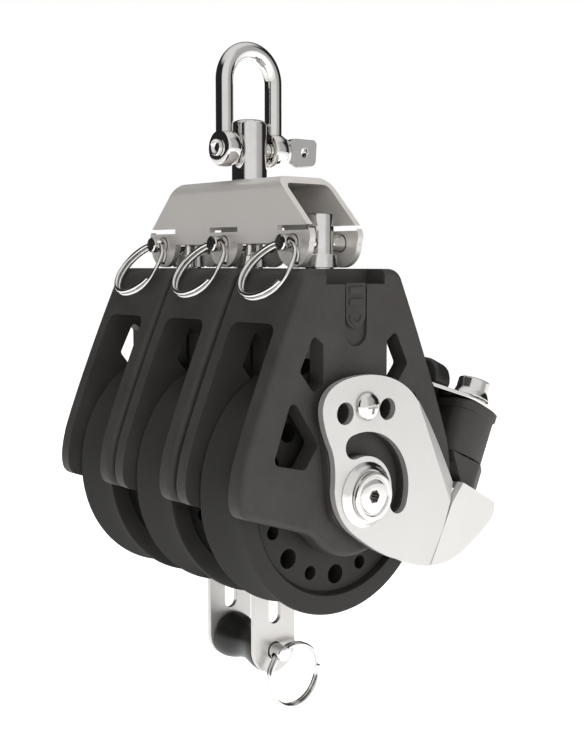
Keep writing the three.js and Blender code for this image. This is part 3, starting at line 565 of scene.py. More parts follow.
def moulded_nylon():
    made, nodes, links, shader, where = material("shell_nylon", (0.035, 0.032, 0.029), 0.6)
    shader.inputs["Specular IOR Level"].default_value = 0.36
    clouds = noise(nodes, links, where, 90, 4)
    links.new(tinted(nodes, links, clouds, (0.029, 0.0262, 0.0238), (0.039, 0.0354, 0.032)),
              shader.inputs["Base Color"])
    grain = noise(nodes, links, where, 2600, 2, 0.6)
    links.new(ranged(nodes, links, grain, 0.5, 0.68), shader.inputs["Roughness"])
    bumped(nodes, links, shader, grain, 0.35, 0.00012)
    return made


def turned_acetal(name, dark, light, low_rough, high_rough):
    made, nodes, links, shader, where = material(name, light, high_rough)
    shader.inputs["Specular IOR Level"].default_value = 0.32
    centred = stretched(nodes, links, where, (1, 1, 1), tuple(-AXLE))
    rings = nodes.new("ShaderNodeTexWave")
    rings.wave_type = "RINGS"
    rings.rings_direction = "Y"
    rings.inputs["Scale"].default_value = 900
    rings.inputs["Distortion"].default_value = 0.6
    links.new(centred, rings.inputs["Vector"])
    clouds = noise(nodes, links, where, 140, 4)
    links.new(tinted(nodes, links, clouds, dark, light), shader.inputs["Base Color"])
    links.new(ranged(nodes, links, clouds, low_rough, high_rough), shader.inputs["Roughness"])
    bumped(nodes, links, shader, rings.outputs["Fac"], 0.08, 0.00004)
    return made


def polished_steel():
    made, nodes, links, shader, where = material("polished_steel", (0.80, 0.785, 0.765), 0.07, 1.0)
    smudges = noise(nodes, links, where, 220, 5)
    links.new(ranged(nodes, links, smudges, 0.035, 0.12), shader.inputs["Roughness"])
    links.new(tinted(nodes, links, smudges, (0.70, 0.685, 0.665), (0.76, 0.745, 0.73)),
              shader.inputs["Base Color"])
    scratches = noise(nodes, links, stretched(nodes, links, where, (1, 1, 14)), 500, 3)
    bumped(nodes, links, shader, scratches, 0.03, 0.00003)
    return made


def sheet_steel(name, dark, light, low_rough, high_rough, bump, metallic=1.0):
    made, nodes, links, shader, where = material(name, light, high_rough, metallic)
    grain = noise(nodes, links, where, 1500, 3)
    clouds = noise(nodes, links, where, 60, 4)
    links.new(tinted(nodes, links, clouds, dark, light), shader.inputs["Base Color"])
    links.new(ranged(nodes, links, grain, low_rough, high_rough), shader.inputs["Roughness"])
    bumped(nodes, links, shader, grain, bump, 0.00003)
    return made


def ball_plastic():
    made, nodes, links, shader, where = material("ball_plastic", (0.78, 0.76, 0.7), 0.35)
    clouds = noise(nodes, links, where, 400, 3)
    links.new(tinted(nodes, links, clouds, (0.72, 0.70, 0.63), (0.82, 0.80, 0.74)),
              shader.inputs["Base Color"])
    return made


def pale_floor():
    made, nodes, links, shader, where = material("pale_floor", (0.86, 0.86, 0.86), 0.7)
    shader.inputs["Emission Color"].default_value = (1, 1, 1, 1)
    shader.inputs["Emission Strength"].default_value = FLOOR_GLOW
    clouds = noise(nodes, links, where, 3, 2)
    links.new(tinted(nodes, links, clouds, (0.84, 0.84, 0.84), (0.88, 0.88, 0.88)),
              shader.inputs["Base Color"])
    return made


# Each look is a slot name and a material.

NYLON = ("shell_nylon", moulded_nylon())
ACETAL = (
    "sheave_acetal",
    turned_acetal("sheave_acetal", (0.0125, 0.0115, 0.0105), (0.019, 0.0175, 0.016), 0.46, 0.6),
)
SPOOL = (
    "sheave_acetal",
    turned_acetal("spool_acetal", (0.012, 0.012, 0.011), (0.02, 0.019, 0.018), 0.3, 0.42),
)
POLISHED = ("polished_steel", polished_steel())
SATIN = (
    "satin_steel",
    sheet_steel("satin_steel", (0.62, 0.595, 0.565), (0.635, 0.61, 0.58), 0.34, 0.38, 0.004, 0.45),
)
BRIGHT = (
    "bright_steel",
    sheet_steel("bright_steel", (0.62, 0.604, 0.588), (0.64, 0.624, 0.608), 0.36, 0.42, 0.006, 0.7),
)
SPRING = (
    "spring_steel",
    sheet_steel("spring_steel", (0.5, 0.49, 0.47), (0.6, 0.59, 0.57), 0.25, 0.4, 0.03),
)
BALL = ("ball_plastic", ball_plastic())


# The three units.

UPPER_WINDOW = [(15.5, 44.6, 1.2), (20.4, 35, 1.2), (15.2, 28.6, 1.5), (12, 31, 1.2), (12, 42, 1.2)]
LOWER_WINDOW = [(23, 28.4, 1.6), (29.6, 10.8, 1.8), (18.5, 8.2, 2), (13.7, 14.8, 1.6)]


def shell_outline():
    lobe_angle = 42
    lobe_x = HUB_LOBE * math.cos(math.radians(lobe_angle))
    lobe_z = -HUB_LOBE * math.sin(math.radians(lobe_angle))
    right = curved(
        (0, SHELL_TOP), (13.8, SHELL_TOP), (17.6, SHELL_TOP, 19, 58.4),
        (26, 43.4, 32.2, 28.2), (35.6, 20, 38.6, 11.6), (42.2, -1.4, 37.4, -2.9),
        (19, -8.95), (15.6, -10.1, lobe_x, lobe_z),
        steps=8,
    )
    bottom = arc(HUB_LOBE, -lobe_angle, -180 + lobe_angle, 28)[1:-1]
    left = [(-x, z) for x, z in reversed(right[1:])]
    return right + bottom + left


def shell(bottom_open, arm_screw):
    body = prism(shell_outline(), -UNIT_HALF, UNIT_HALF)
    round_rim(body, (-UNIT_HALF, UNIT_HALF), SHELL_ROUNDING)
    rope_way = fillet([
        (-CHEEK_INNER, -40), (CHEEK_INNER, -40),
        (CHEEK_INNER, SLOT_TOP, 3), (-CHEEK_INNER, SLOT_TOP, 3),
    ])
    cut(body, prism(rope_way, -60, 60, "x"))
    for window in (UPPER_WINDOW, LOWER_WINDOW):
        for corners in (window, mirrored(window)):
            cut(body, prism(fillet(corners, 4), -UNIT_HALF - 1, UNIT_HALF + 1))
    pocket_low = -HUB_LOBE - 10 if bottom_open else -STRAP_HALF_WIDTH - 2
    pocket_half = (BECKET_HALF if bottom_open else STRAP_HALF_WIDTH) + 0.4
    pocket = arc(pocket_half, 180, 360, 16, 0, pocket_low + pocket_half)
    pocket += [(pocket_half, BRIDGE_TOP + GAP), (-pocket_half, BRIDGE_TOP + GAP)]
    for side in (-1, 1):
        low, high = sorted((side * POCKET_OUTER, side * (CHEEK_INNER - 0.5)))
        cut(body, prism(pocket, low, high))
        low, high = sorted((side * (UNIT_HALF + 1), side * RECESS_INNER))
        cut(body, block((-RECESS_HALF, low, RECESS_LOW), (RECESS_HALF, high, 70)))
        low, high = sorted((side * AXLE_SEAT, side * (UNIT_HALF + 1)))
        cut(body, rod(AXLE_HEAD_RADIUS + GAP, low, high))
    bridge = STRAP_HALF_WIDTH + 0.4
    cut(body, block((-bridge, -POCKET_OUTER, BRIDGE_TOP - STRAP_THICKNESS - GAP),
                    (bridge, POCKET_OUTER, BRIDGE_TOP + GAP)))
    cut(body, rod(POST_RADIUS + GAP, SLOT_TOP - 1, SHELL_TOP + 1, "z"))
    cut(body, rod(POST_FLANGE + 0.4, SLOT_TOP - 1, BRIDGE_TOP - STRAP_THICKNESS, "z"))
    cut(body, prism(slot(4.1, 40.9, 70), -UNIT_HALF - 1, -UNIT_HALF + 0.95))
    if arm_screw:
        cut(body, shift(rod(SCREW_HOLE, -UNIT_HALF - 1, -CHEEK_INNER + 1), z=ARM_SCREW_HEIGHT))
        for x, z in arm_side_holes():
            cut(body, shift(rod(ARM_SIDE_HOLE, -UNIT_HALF - 1, -CHEEK_INNER - 1), x=x, z=z))
    return softened(body, 0.35, 2, 42)


def sheave():
    lip = SHEAVE_HALF - 0.9
    rim = SHEAVE_RADIUS - 0.4
    steps = 22
    groove = []
    for i in range(steps + 1):
        across = -lip + 2 * lip * i / steps
        groove.append((rim - (rim - GROOVE_RADIUS) * (1 - (across / lip) ** 2), across))
    half = [
        (11.2, 8.4), (11.4, 8.6), (15.8, 8.6), (16.2, 8.35),
        (17.2, WEB_HALF + 0.1), (17.6, WEB_HALF), (29.0, WEB_HALF), (29.5, WEB_HALF + 0.25),
        (30.1, SHEAVE_HALF - 0.3), (30.5, SHEAVE_HALF),
        (SHEAVE_RADIUS - 0.8, SHEAVE_HALF), (SHEAVE_RADIUS - 0.2, SHEAVE_HALF - 0.2),
        (SHEAVE_RADIUS, SHEAVE_HALF - 0.6),
    ]
    profile = [(r, -y) for r, y in half] + groove + list(reversed(half))
    profile += [(11.2, 3.4), (BALL_RACE_RADIUS, 3.2), (BALL_RACE_RADIUS, -3.2), (11.2, -3.4)]
    body = turned(profile, "y", 144)
    for i in range(16):
        angle = math.pi * i / 8
        hole = turn(rod(SHEAVE_HOLES[i % 2], -10, 10, "y", 28), SHEAVE_HOLE_TURN, "Y")
        x, z = SHEAVE_HOLE_PATH * math.cos(angle), SHEAVE_HOLE_PATH * math.sin(angle)
        cut(body, shift(hole, x=x, z=z))
    return softened(body, 0.3, 2, 60)


def ball_cage():
    path = (BALL_RACE_RADIUS + SLEEVE_RADIUS) / 2
    body = tube(path - 0.8, path + 0.8, -2.9, 2.9, "y", 80)
    for i in range(BALL_COUNT):
        angle = 2 * math.pi * i / BALL_COUNT
        half_circle = [
            (BALL_RADIUS * math.sin(math.pi * k / 12), -BALL_RADIUS * math.cos(math.pi * k / 12))
            for k in range(13)
        ]
        ball = turned(half_circle, "y", 24)
        joined(body, shift(ball, x=path * math.cos(angle), z=path * math.sin(angle)))
    return body


def load_strap(screw_hole):
    outer = fillet([
        (-STRAP_OUTER, -STRAP_HALF_WIDTH), (STRAP_OUTER, -STRAP_HALF_WIDTH),
        (STRAP_OUTER, BRIDGE_TOP, 1.5), (-STRAP_OUTER, BRIDGE_TOP, 1.5),
    ])
    inside = STRAP_OUTER - STRAP_THICKNESS
    body = prism(outer, -STRAP_HALF_WIDTH, STRAP_HALF_WIDTH, "x")
    cut(body, block((-20, -inside, -20), (20, inside, BRIDGE_TOP - STRAP_THICKNESS)))
    common(body, prism(slot(STRAP_HALF_WIDTH, -STRAP_HALF_WIDTH, 80), -20, 20))
    cut(body, rod(AXLE_HOLE, -20, 20), rod(POST_RADIUS + 0.2, 50, 60, "z"))
    if screw_hole:
        cut(body, shift(rod(2.5, -20, 0), z=ARM_SCREW_HEIGHT))
    return softened(body, 0.15)


def head_post():
    seat = BRIDGE_TOP - STRAP_THICKNESS - 0.3
    body = turned(
        [
            (0, 51.4), (POST_FLANGE - 0.3, 51.4), (POST_FLANGE, 51.7), (POST_FLANGE, seat - 0.2),
            (POST_FLANGE - 0.2, seat), (POST_RADIUS, seat),
            (POST_RADIUS, SHELL_TOP + GAP), (COLLAR_RADIUS - 0.15, SHELL_TOP + GAP),
            (COLLAR_RADIUS, SHELL_TOP + 0.45), (COLLAR_RADIUS, COLLAR_TOP - 0.3),
            (COLLAR_RADIUS - 0.2, COLLAR_TOP - 0.05), (POST_RADIUS, COLLAR_TOP),
            (POST_RADIUS, POST_TOP - 0.6), (POST_RADIUS - 0.15, POST_TOP - 0.2),
            (POST_RADIUS - 0.5, POST_TOP), (0, POST_TOP),
        ],
        "z",
    )
    return cut(body, shift(rod(PIN_HOLE, -10, 10, "x"), z=PIN_HEIGHT))


def clevis_pin():
    head = BRACKET_HALF + 0.2
    body = turned(
        [
            (0, -14.8), (PIN_RADIUS - 0.5, -14.8), (PIN_RADIUS - 0.1, -14.55), (PIN_RADIUS, -14.3),
            (PIN_RADIUS, head), (3.45, head), (3.6, head + 0.15), (3.6, head + 1.2),
            (3.4, head + 1.7), (2.9, head + 2), (0, head + 2),
        ],
        "x",
        64,
    )
    cut(body, shift(rod(1.6, -5, 5), x=PIN_TIP))
    return shift(softened(body, 0.15, 2, 50), z=PIN_HEIGHT)


def split_ring():
    """Two turns of wire side by side, top at the origin, the ring's plane in Y and Z."""
    count = 150
    crossing = 0.55
    first, last = 0.12, 4 * math.pi - crossing - 0.1
    points = []
    for i in range(count + 1):
        angle = first + (last - first) * i / count
        t = min(max((angle - (2 * math.pi - crossing)) / (2 * crossing), 0), 1)
        layer = RING_WIRE * (2 * t * t * (3 - 2 * t) - 1)
        at = angle + math.radians(RING_START)
        points.append((layer, RING_RADIUS * math.cos(at), RING_RADIUS * math.sin(at) - RING_RADIUS))
    return sweep(points, RING_WIRE * 0.98, 18)


def lock_slider():
    body = prism(slot(3.7, 45.8, 70), -UNIT_HALF + 0.05, -UNIT_HALF + 0.75)
    cut(body, block((-6, -20, 58.4), (6, 0, 80)))
    for height in SLIDER_RIBS:
        rib = block((-2.6, -UNIT_HALF - 0.45, height - 0.9), (2.6, -UNIT_HALF + 0.3, height + 0.9))
        joined(body, rib)
    hook = prism(arc(2.6, 180, 360, 14, 0, 49.4) + arc(1.7, 360, 180, 14, 0, 49.4),
                 -UNIT_HALF - 0.35, -UNIT_HALF + 0.3)
    joined(body, hook)
    return softened(body, 0.14)


def axle_bolt():
    face = -UNIT_HALF + 0.1
    body = turned(
        [
            (0, face), (AXLE_HEAD_RADIUS - 0.4, face), (AXLE_HEAD_RADIUS - 0.1, face + 0.12),
            (AXLE_HEAD_RADIUS, face + 0.4), (AXLE_HEAD_RADIUS, -13.6), (AXLE_RADIUS, -13.6),
            (AXLE_RADIUS, UNIT_HALF - 0.5), (AXLE_RADIUS - 0.2, UNIT_HALF - 0.3),
            (0, UNIT_HALF - 0.3),
        ],
    )
    return cut(body, prism(hexagon(4), face - 1, face + 1.5))


def arm_axle_bolt():
    head = -ARM_OUTER - 3.4 + PITCH
    body = turned(
        [
            (0, head + 0.15), (4.5, head + 0.15), (4.75, head + 0.25), (4.9, head + 0.55),
            (5.2, head + 0.55), (5.35, head + 0.2), (5.6, head),
            (AXLE_HEAD_RADIUS - 0.6, head), (AXLE_HEAD_RADIUS - 0.15, head + 0.15),
            (AXLE_HEAD_RADIUS, head + 0.6), (AXLE_HEAD_RADIUS, head + 1.4),
            (AXLE_HEAD_RADIUS - 0.2, head + 1.5), (AXLE_RADIUS, head + 1.5),
            (AXLE_RADIUS, UNIT_HALF - 0.3), (0, UNIT_HALF - 0.3),
        ],
        "y",
        128,
    )
    cut(body, prism(hexagon(3.4), head - 1, head + 6))
    return body


def build_units():
    originals = {
        "sheave": sheave(),
        "ball_cage": ball_cage(),
        "race_sleeve": tube(AXLE_RADIUS + 0.1, SLEEVE_RADIUS, -9.5, 9.5),
        "axle_nut": tube(AXLE_RADIUS + 0.1, AXLE_HEAD_RADIUS, 13.6, UNIT_HALF - 0.1),
        "head_post": head_post(),
        "clevis_pin": clevis_pin(),
        "lock_slider": lock_slider(),
        "split_ring": shift(turn(split_ring(), RING_LEAN, "Y"), x=PIN_TIP, z=PIN_HEIGHT),
    }
    looks = {
        "sheave": ACETAL, "ball_cage": BALL, "race_sleeve": SATIN, "axle_nut": POLISHED,
        "head_post": POLISHED, "clevis_pin": POLISHED, "lock_slider": NYLON, "split_ring": POLISHED,
    }
    movers = ("sheave", "ball_cage", "lock_slider", "split_ring")
    for unit, y in UNITS.items():
        at_cam = unit == "cam_side"
        own = {
            "shell": (shell(unit == "middle", at_cam), NYLON),
            "load_strap": (load_strap(at_cam), SATIN),
            "axle_bolt": (arm_axle_bolt() if at_cam else axle_bolt(), POLISHED),
        }
        for kind, original in originals.items():
            own[kind] = (copy(original), looks[kind])
        for kind, (obj, look_of) in own.items():
            node = f"{kind}_{unit}"
            body = f"{node}_body" if kind in movers else "block"
            settle(shift(obj, y=y), body, node, look_of)
    for original in originals.values():
        bpy.data.objects.remove(original)


# Head, swivel and shackle.


def head_bracket():
    inner = BRACKET_HALF - SHEET

    def channel(half, top, radius):
        return fillet([(-half, 50), (half, 50), (half, top, radius), (-half, top, radius)], 12)

    body = prism(channel(BRACKET_HALF, BRACKET_TOP, 3.6), -60, 60)
    cut(body, prism(channel(inner, BRACKET_TOP - SHEET, 1.8), -61, 61))
    side = curved((-23.6, BRACKET_TOP + 1), (-38.4, 74.6), (-40.4, 72, -BRACKET_END, PIN_HEIGHT))
    for centre in (-PITCH, 0, PITCH):
        side += arc(BRACKET_LOBE, 180, 360, 24, centre, PIN_HEIGHT)
    side += curved((BRACKET_END, PIN_HEIGHT), (40.4, 72, 38.4, 74.6), (23.6, BRACKET_TOP + 1))
    common(body, prism(side, -20, 20, "x"))
    for centre in (-PITCH, 0, PITCH):
        cut(body, shift(rod(PIN_HOLE, -20, 20, "x"), y=centre, z=PIN_HEIGHT))
        low, high = centre - BRACKET_SLOT_HALF, centre + BRACKET_SLOT_HALF
        cut(body, block((-20, low, 73), (20, high, 74.5)))
    cut(body, rod(4.6, 80, 95, "z"))
    return softened(body, 0.28, 2, 50)


def swivel_post():
    low = BRACKET_TOP + 0.2
    body = turned(
        [
            (0, 80.8), (4, 80.8), (4, low), (SWIVEL_RADIUS - 0.2, low), (SWIVEL_RADIUS, low + 0.2),
            (SWIVEL_RADIUS, SWIVEL_TOP - 1.4), (SWIVEL_RADIUS - 0.2, SWIVEL_TOP - 0.9),
            (SWIVEL_RADIUS - 0.8, SWIVEL_TOP - 0.3), (SWIVEL_RADIUS - 1.7, SWIVEL_TOP),
            (SWIVEL_RADIUS - 3.4, SWIVEL_TOP + 0.2), (0, SWIVEL_TOP + 0.3),
        ],
        "z",
    )
    return cut(body, shift(rod(2.75, -10, 10, "x"), z=SHACKLE_PIN_HEIGHT))


def shackle_bow():
    foot = SHACKLE_PIN_HEIGHT + 2
    rise = 10
    points = [(-SHACKLE_HALF, 0, foot + (BOW_CENTRE - foot) * i / rise) for i in range(rise)]
    for x, z in arc(SHACKLE_HALF, 180, 0, 48, 0, BOW_CENTRE):
        points.append((x, 0, z))
    for i in range(1, rise + 1):
        points.append((SHACKLE_HALF, 0, BOW_CENTRE + (foot - BOW_CENTRE) * i / rise))
    body = sweep(points, SHACKLE_WIRE, 40)
    for side in (-1, 1):
        low, high = sorted((side * 6.6, side * 11.8))
        eye = turned(
            [
                (0, low), (4.3, low), (5.0, low + 0.3), (5.4, low + 1.1), (5.5, (low + high) / 2),
                (5.4, high - 1.1), (5.0, high - 0.3), (4.3, high), (0, high),
            ],
            "x",
            72,
        )
        joined(body, shift(eye, z=SHACKLE_PIN_HEIGHT))
    return cut(body, shift(rod(2.7, -20, 20, "x"), z=SHACKLE_PIN_HEIGHT))


def shackle_pin():
    body = turned(
        [
            (0, -12), (1.3, -12.1), (1.7, -12.5), (1.9, -12.9), (2.25, -13), (2.45, -12.8),
            (2.5, -12.4), (2.5, 12.1), (4.1, 12.1), (4.3, 12.3), (4.3, 13.2), (4.1, 13.5),
            (3, 14.4), (0, 14.4),
        ],
        "x",
        72,
    )
    tongue = prism(
        fillet([
            (13, -2.6), (17, -4.6, 1.5), (25.4, -3.8, 2), (26, 4.4, 1.5), (17, 4.4, 1.5), (13, 2.6),
        ]),
        -1.5, 1.5,
    )
    cut(tongue, shift(rod(1.4, -5, 5), x=20.8, z=0.2))
    joined(body, softened(tongue, 0.4, 3))
    return shift(body, z=SHACKLE_PIN_HEIGHT)


# Becket.


def becket_strap():
    outline = arc(BECKET_HALF, 0, 180, 24) + arc(BECKET_HALF, 180, 360, 24, 0, -BECKET_DROP + 1.1)
    body = prism(outline, -BECKET_OUTER, -BECKET_OUTER + BECKET_THICKNESS)
    cut(body, prism(slot(2.2, -46, -22), -20, 0), rod(AXLE_HOLE, -20, 0))
    cut(body, shift(rod(PIN_HOLE, -20, 0), z=-BECKET_DROP))
    return softened(body, 0.25)


def becket_spool():
    half = BECKET_OUTER - BECKET_THICKNESS - 0.4
    profile = [(2.7, -half), (SPOOL_RADIUS - 0.5, -half), (SPOOL_RADIUS - 0.15, -half + 0.2)]
    steps = 24
    for i in range(steps + 1):
        across = -1 + 2 * i / steps
        waist = 1.7 * math.cos(across * math.pi / 2) ** 2
        profile.append((SPOOL_RADIUS - waist, across * (half - 0.5)))
    profile += [(SPOOL_RADIUS - 0.15, half - 0.2), (SPOOL_RADIUS - 0.5, half), (2.7, half)]
    return shift(turned(profile), z=-BECKET_DROP)


def becket_pin():
    head = BECKET_OUTER + 0.2
    body = turned([
        (0, -17), (PIN_RADIUS - 0.5, -17), (PIN_RADIUS - 0.1, -16.8), (PIN_RADIUS, -16.5),
        (PIN_RADIUS, head), (3.4, head), (3.6, head + 0.2), (3.6, head + 1.3), (3.3, head + 1.6),
        (0, head + 1.8),
    ])
    hole = turn(rod(1.6, -5, 5, "x"), -BECKET_RING_LEAN, "Y")
    cut(body, shift(hole, y=BECKET_RING_PLACE))
    return shift(body, z=-BECKET_DROP)


def becket_ring():
    ring = turn(turn(split_ring(), 90, "Z"), -BECKET_RING_LEAN, "Y")
    return shift(ring, y=BECKET_RING_PLACE, z=-BECKET_DROP)


# Cam arm.


def arm_outline():
    return curved(
        FOLD_TOP, (14, 32.6, 1, 33.3), (-15.2, 33.4, -16.1, 25), (-16.2, 20.6, -13.2, 14.6),
        (-11, 10.4, -11.8, 2.4), (-11.4, -5.6, -4.2, -10.9), (5.4, -18, 13.2, -20.5),
        (20, -23.9, 27.4, -24.6), FOLD_BOTTOM, steps=16,
    )


def arm_side_holes():
    angles = [math.radians(degrees) for degrees in (71, 109)]
    return [(ARM_SCREW_HEIGHT * math.cos(a), ARM_SCREW_HEIGHT * math.sin(a)) for a in angles]


def hook_slot(half=3.4):
    """The hook shaped slot closes in a little on the axle as it comes round."""

    def middle_line(t):
        angle = math.radians(108 - 124 * t)
        radius = 14.4 - 1.4 * t
        return Vector((radius * math.cos(angle), radius * math.sin(angle)))

    def edge(t, side):
        on = (middle_line(min(t + 0.01, 1)) - middle_line(max(t - 0.01, 0))).normalized()
        return middle_line(t) + Vector((-on.y, on.x)) * side * half

    def cap(end):
        inner = middle_line(0.98 if end else 0.02)
        tip = middle_line(end)
        out = math.atan2(tip.y - inner.y, tip.x - inner.x)
        angles = [out + math.pi / 2 - math.pi * k / 12 for k in range(1, 12)]
        return [tip + Vector((math.cos(a), math.sin(a))) * half for a in angles]

    steps = 40
    points = [edge(i / steps, 1) for i in range(steps + 1)] + cap(1)
    points += [edge(i / steps, -1) for i in range(steps, -1, -1)] + cap(0)
    return [(p.x, p.y) for p in points]


def tilted(obj):
    return turn(obj, CLEAT_TILT, "Y")


def cam_arm():
    body = prism(arm_outline(), -ARM_OUTER, -ARM_INNER)
    cut(body, prism(hook_slot(), -60, 0), rod(AXLE_HOLE, -60, 0))
    cut(body, shift(rod(SCREW_HOLE, -60, 0), z=ARM_SCREW_HEIGHT))
    for x, z in arm_side_holes():
        cut(body, shift(rod(ARM_SIDE_HOLE, -60, 0), x=x, z=z))

    top = Vector(FOLD_TOP)
    bottom = Vector(FOLD_BOTTOM)
    length = (bottom - top).length
    edge = curved((0, 0), (length, 0), (length - 3, 5.8), (length * 0.35, 4.6, 0, 0.4))
    flange = prism(edge, -SHEET, 0, "z")
    turn(flange, -FLANGE_FOLD, "X")
    turn(flange, 90, "X")
    turn(flange, -math.degrees(math.atan2(bottom.y - top.y, bottom.x - top.x)), "Y")
    shift(flange, top.x, -ARM_OUTER, top.y)

    wing = curved(
        (-1.2, -11.4), (10, -9.8, 20, 0), (29.4, 9, 29.4, 11.6),
        (29.4, PLATFORM_TOP, 25.6, PLATFORM_TOP), (3.6, PLATFORM_TOP), (0.4, 8.2), steps=16,
    )
    wing_plate = shift(turn(prism(wing, 0, SHEET), WING_ANGLE, "Z"), FOLD_ALONG, -ARM_OUTER, 0)
    platform = fillet([
        (39, -ARM_OUTER + 1.7), (63.4, -ARM_OUTER + 7.6, 1), (63.4, -PITCH + 16.5, 3),
        (39, -PITCH + 16.5, 3),
    ])
    shelf = prism(platform, PLATFORM_TOP - SHEET, PLATFORM_TOP, "z")
    for side in (-1, 1):
        hole = rod(SCREW_HOLE, 0, 30, "z")
        cut(shelf, shift(hole, x=BASE_SCREW_ALONG, y=-PITCH + side * BASE_SCREW_SIDE))
    joined(body, flange, tilted(wing_plate), tilted(shelf))
    return softened(body, 0.22, 2, 45)


def arm_pad():
    outline = fillet([
        (-14.6, 26, 5), (-12.4, 9, 5), (-10.6, -6, 5), (4, -16.6, 5), (24, -19.8, 5),
        (29.6, -6, 4), (14.6, 27, 7), (0, 31.6, 8),
    ], 8)
    body = prism(outline, -PAD_FACE, -CHEEK_FACE - 0.1)
    cut(body, rod(AXLE_HOLE, -60, 0), shift(rod(SCREW_HOLE, -60, 0), z=ARM_SCREW_HEIGHT))
    cut(body, prism(hook_slot(3.1), -60, 0))
    for x, z in arm_side_holes():
        cut(body, shift(rod(ARM_SIDE_HOLE, -60, 0), x=x, z=z))
    return softened(body, 0.2)


def arm_washer():
    face = -ARM_OUTER
    return turned(
        [
            (AXLE_HOLE, face - 1.8), (7.0, face - 1.8), (7.4, face - 1.7), (7.8, face - 1.4),
            (8.2, face - 0.95), (8.7, face - 0.5), (9.1, face - 0.3), (9.2, face - 0.2),
            (9.2, face - 0.1), (AXLE_HOLE, face - 0.1),
        ],
        "y",
        128,
    )


def arm_screw():
    face = -ARM_OUTER - 0.1
    body = turned(
        [
            (0, face - 2.6), (1, face - 2.55), (2, face - 2.35), (3, face - 1.9),
            (3.7, face - 1.25), (4.05, face - 0.5), (4.1, face - 0.15), (4.0, face), (2, face),
            (2, -CHEEK_FACE + 5.2), (0, -CHEEK_FACE + 5.2),
        ],
    )
    for x, z in ((1.9, 0.42), (0.42, 1.9)):
        cut(body, block((-x, face - 4, -z), (x, face - 1.1, z)))
    return shift(body, z=ARM_SCREW_HEIGHT)


# Cam cleat, in its own tilted frame: X along the slope, Z up from the arm's platform.


def cleat_base():
    side = [(40.8, BASE_BOTTOM), (60, BASE_BOTTOM), (60, BASE_TOP), (33.2, BASE_TOP)]
    plan = fillet([
        (28, -15.8, 4), (47, -15.8, 5), (59, -7, 5), (59, 7, 5), (47, 15.8, 5), (28, 15.8, 4),
    ], 8)
    body = common(prism(side, -18, 18), prism(plan, 0, 40, "z"))
    for hand in (-1, 1):
        cut(body, shift(rod(2.7, 18, 40, "z"), x=CAM_ALONG, y=hand * CAM_SIDE))
        cut(body, shift(rod(5.4, BASE_TOP - 2.6, 40, "z"), x=CAM_ALONG, y=hand * CAM_SIDE))
        cut(body, shift(rod(2.2, 0, 21.3, "z"), x=BASE_SCREW_ALONG, y=hand * BASE_SCREW_SIDE))
    return softened(body, 0.7, 3)


def cam_outline(tooth_depth, inset=0.0):
    teeth = 9

    def corner(t, depth):
        angle = math.radians(120 - 100 * t)
        radius = 9.4 + 3.3 * t - depth
        return (radius * math.cos(angle), min(radius * math.sin(angle), CAM_SIDE - 0.5))

    points = [corner(0, tooth_depth)]
    for i in range(teeth):
        points += [corner((i + 0.45) / teeth, 0), corner((i + 1) / teeth, tooth_depth)]
    points = curved(
        *points, (13.4, -1, 10, -4), (5, -6.6, -1, -6.6), (-6.2, -6.1, -6.5, 0),
    )
    shrink = 1 - inset
    return [(x * shrink, y * shrink) for x, y in points]


def cam(side):
    body = prism(cam_outline(0.9, 0.06), CAM_BOTTOM, CAM_TOP - 2.6, "z")
    rim = softened(prism(cam_outline(0.3), CAM_TOP - 3, CAM_TOP, "z"), 0.5, 3)
    joined(body, rim)
    cut(body, rod(2.65, 0, 60, "z"))
    cut(body, turned([(3.6, CAM_BOTTOM - 1), (5.6, CAM_BOTTOM - 1), (5.6, CAM_BOTTOM + 5),
                      (3.6, CAM_BOTTOM + 5)], "z", 48))
    if side > 0:
        body.data.transform(Matrix.Scale(-1, 4, (0, 1, 0)))
        outward(body)
    return shift(softened(body, 0.2), x=CAM_ALONG, y=side * CAM_SIDE)


def cam_bolt(side):
    foot = 18.3
    top = CAM_TOP
    body = turned(
        [
            (0, foot), (2.5, foot), (2.5, top + 1.8), (5.9, top + 1.8), (6.0, top + 2.0),
            (5.8, top + 2.5), (5.4, top + 3.1), (5.25, top + 3.7), (5.1, top + 4.3),
            (5.1, top + 7), (5.0, top + 7.35), (4.6, top + 7.6), (0, top + 7.6),
        ],
        "z",
    )
    return shift(body, x=CAM_ALONG, y=side * CAM_SIDE)


def base_screw(side):
    seat = PLATFORM_TOP - SHEET - 0.2
    body = turned(
        [
            (0, seat - 2.4), (1.6, seat - 2.35), (2.8, seat - 2), (3.7, seat - 1.2),
            (4, seat - 0.4), (4, seat), (2, seat), (2, 21), (0, 21),
        ],
        "z",
        64,
    )
    cut(body, prism(hexagon(2.5), seat - 4, seat - 0.9, "z"))
    return shift(body, x=BASE_SCREW_ALONG, y=side * BASE_SCREW_SIDE)


def cam_spring(side):
    turns = 2.5
    count = 90
    points = []
    for i in range(count + 1):
        angle = 2 * math.pi * turns * i / count
        height = BASE_TOP - 1.9 + 6 * i / count
        points.append((4.6 * math.cos(angle), 4.6 * math.sin(angle), height))
    return shift(sweep(points, 0.45, 12), x=CAM_ALONG, y=side * CAM_SIDE)


def cleat_strap():
    half = 5
    end = CAM_SIDE + half
    plan = fillet([
        (CAM_ALONG - half, -end, 4.4), (CAM_ALONG + half, -end, 4.4),
        (CAM_ALONG + half, end, 4.4), (CAM_ALONG - half, end, 4.4),
        (CAM_ALONG - 15, CAM_SIDE - 3, 2), (CAM_ALONG - 15, -CAM_SIDE + 3, 2),
    ], 8)
    body = prism(plan, CAM_TOP + 0.3, CAM_TOP + 1.5, "z")
    for hand in (-1, 1):
        cut(body, shift(rod(2.7, 0, 60, "z"), x=CAM_ALONG, y=hand * CAM_SIDE))
    return softened(body, 0.3)


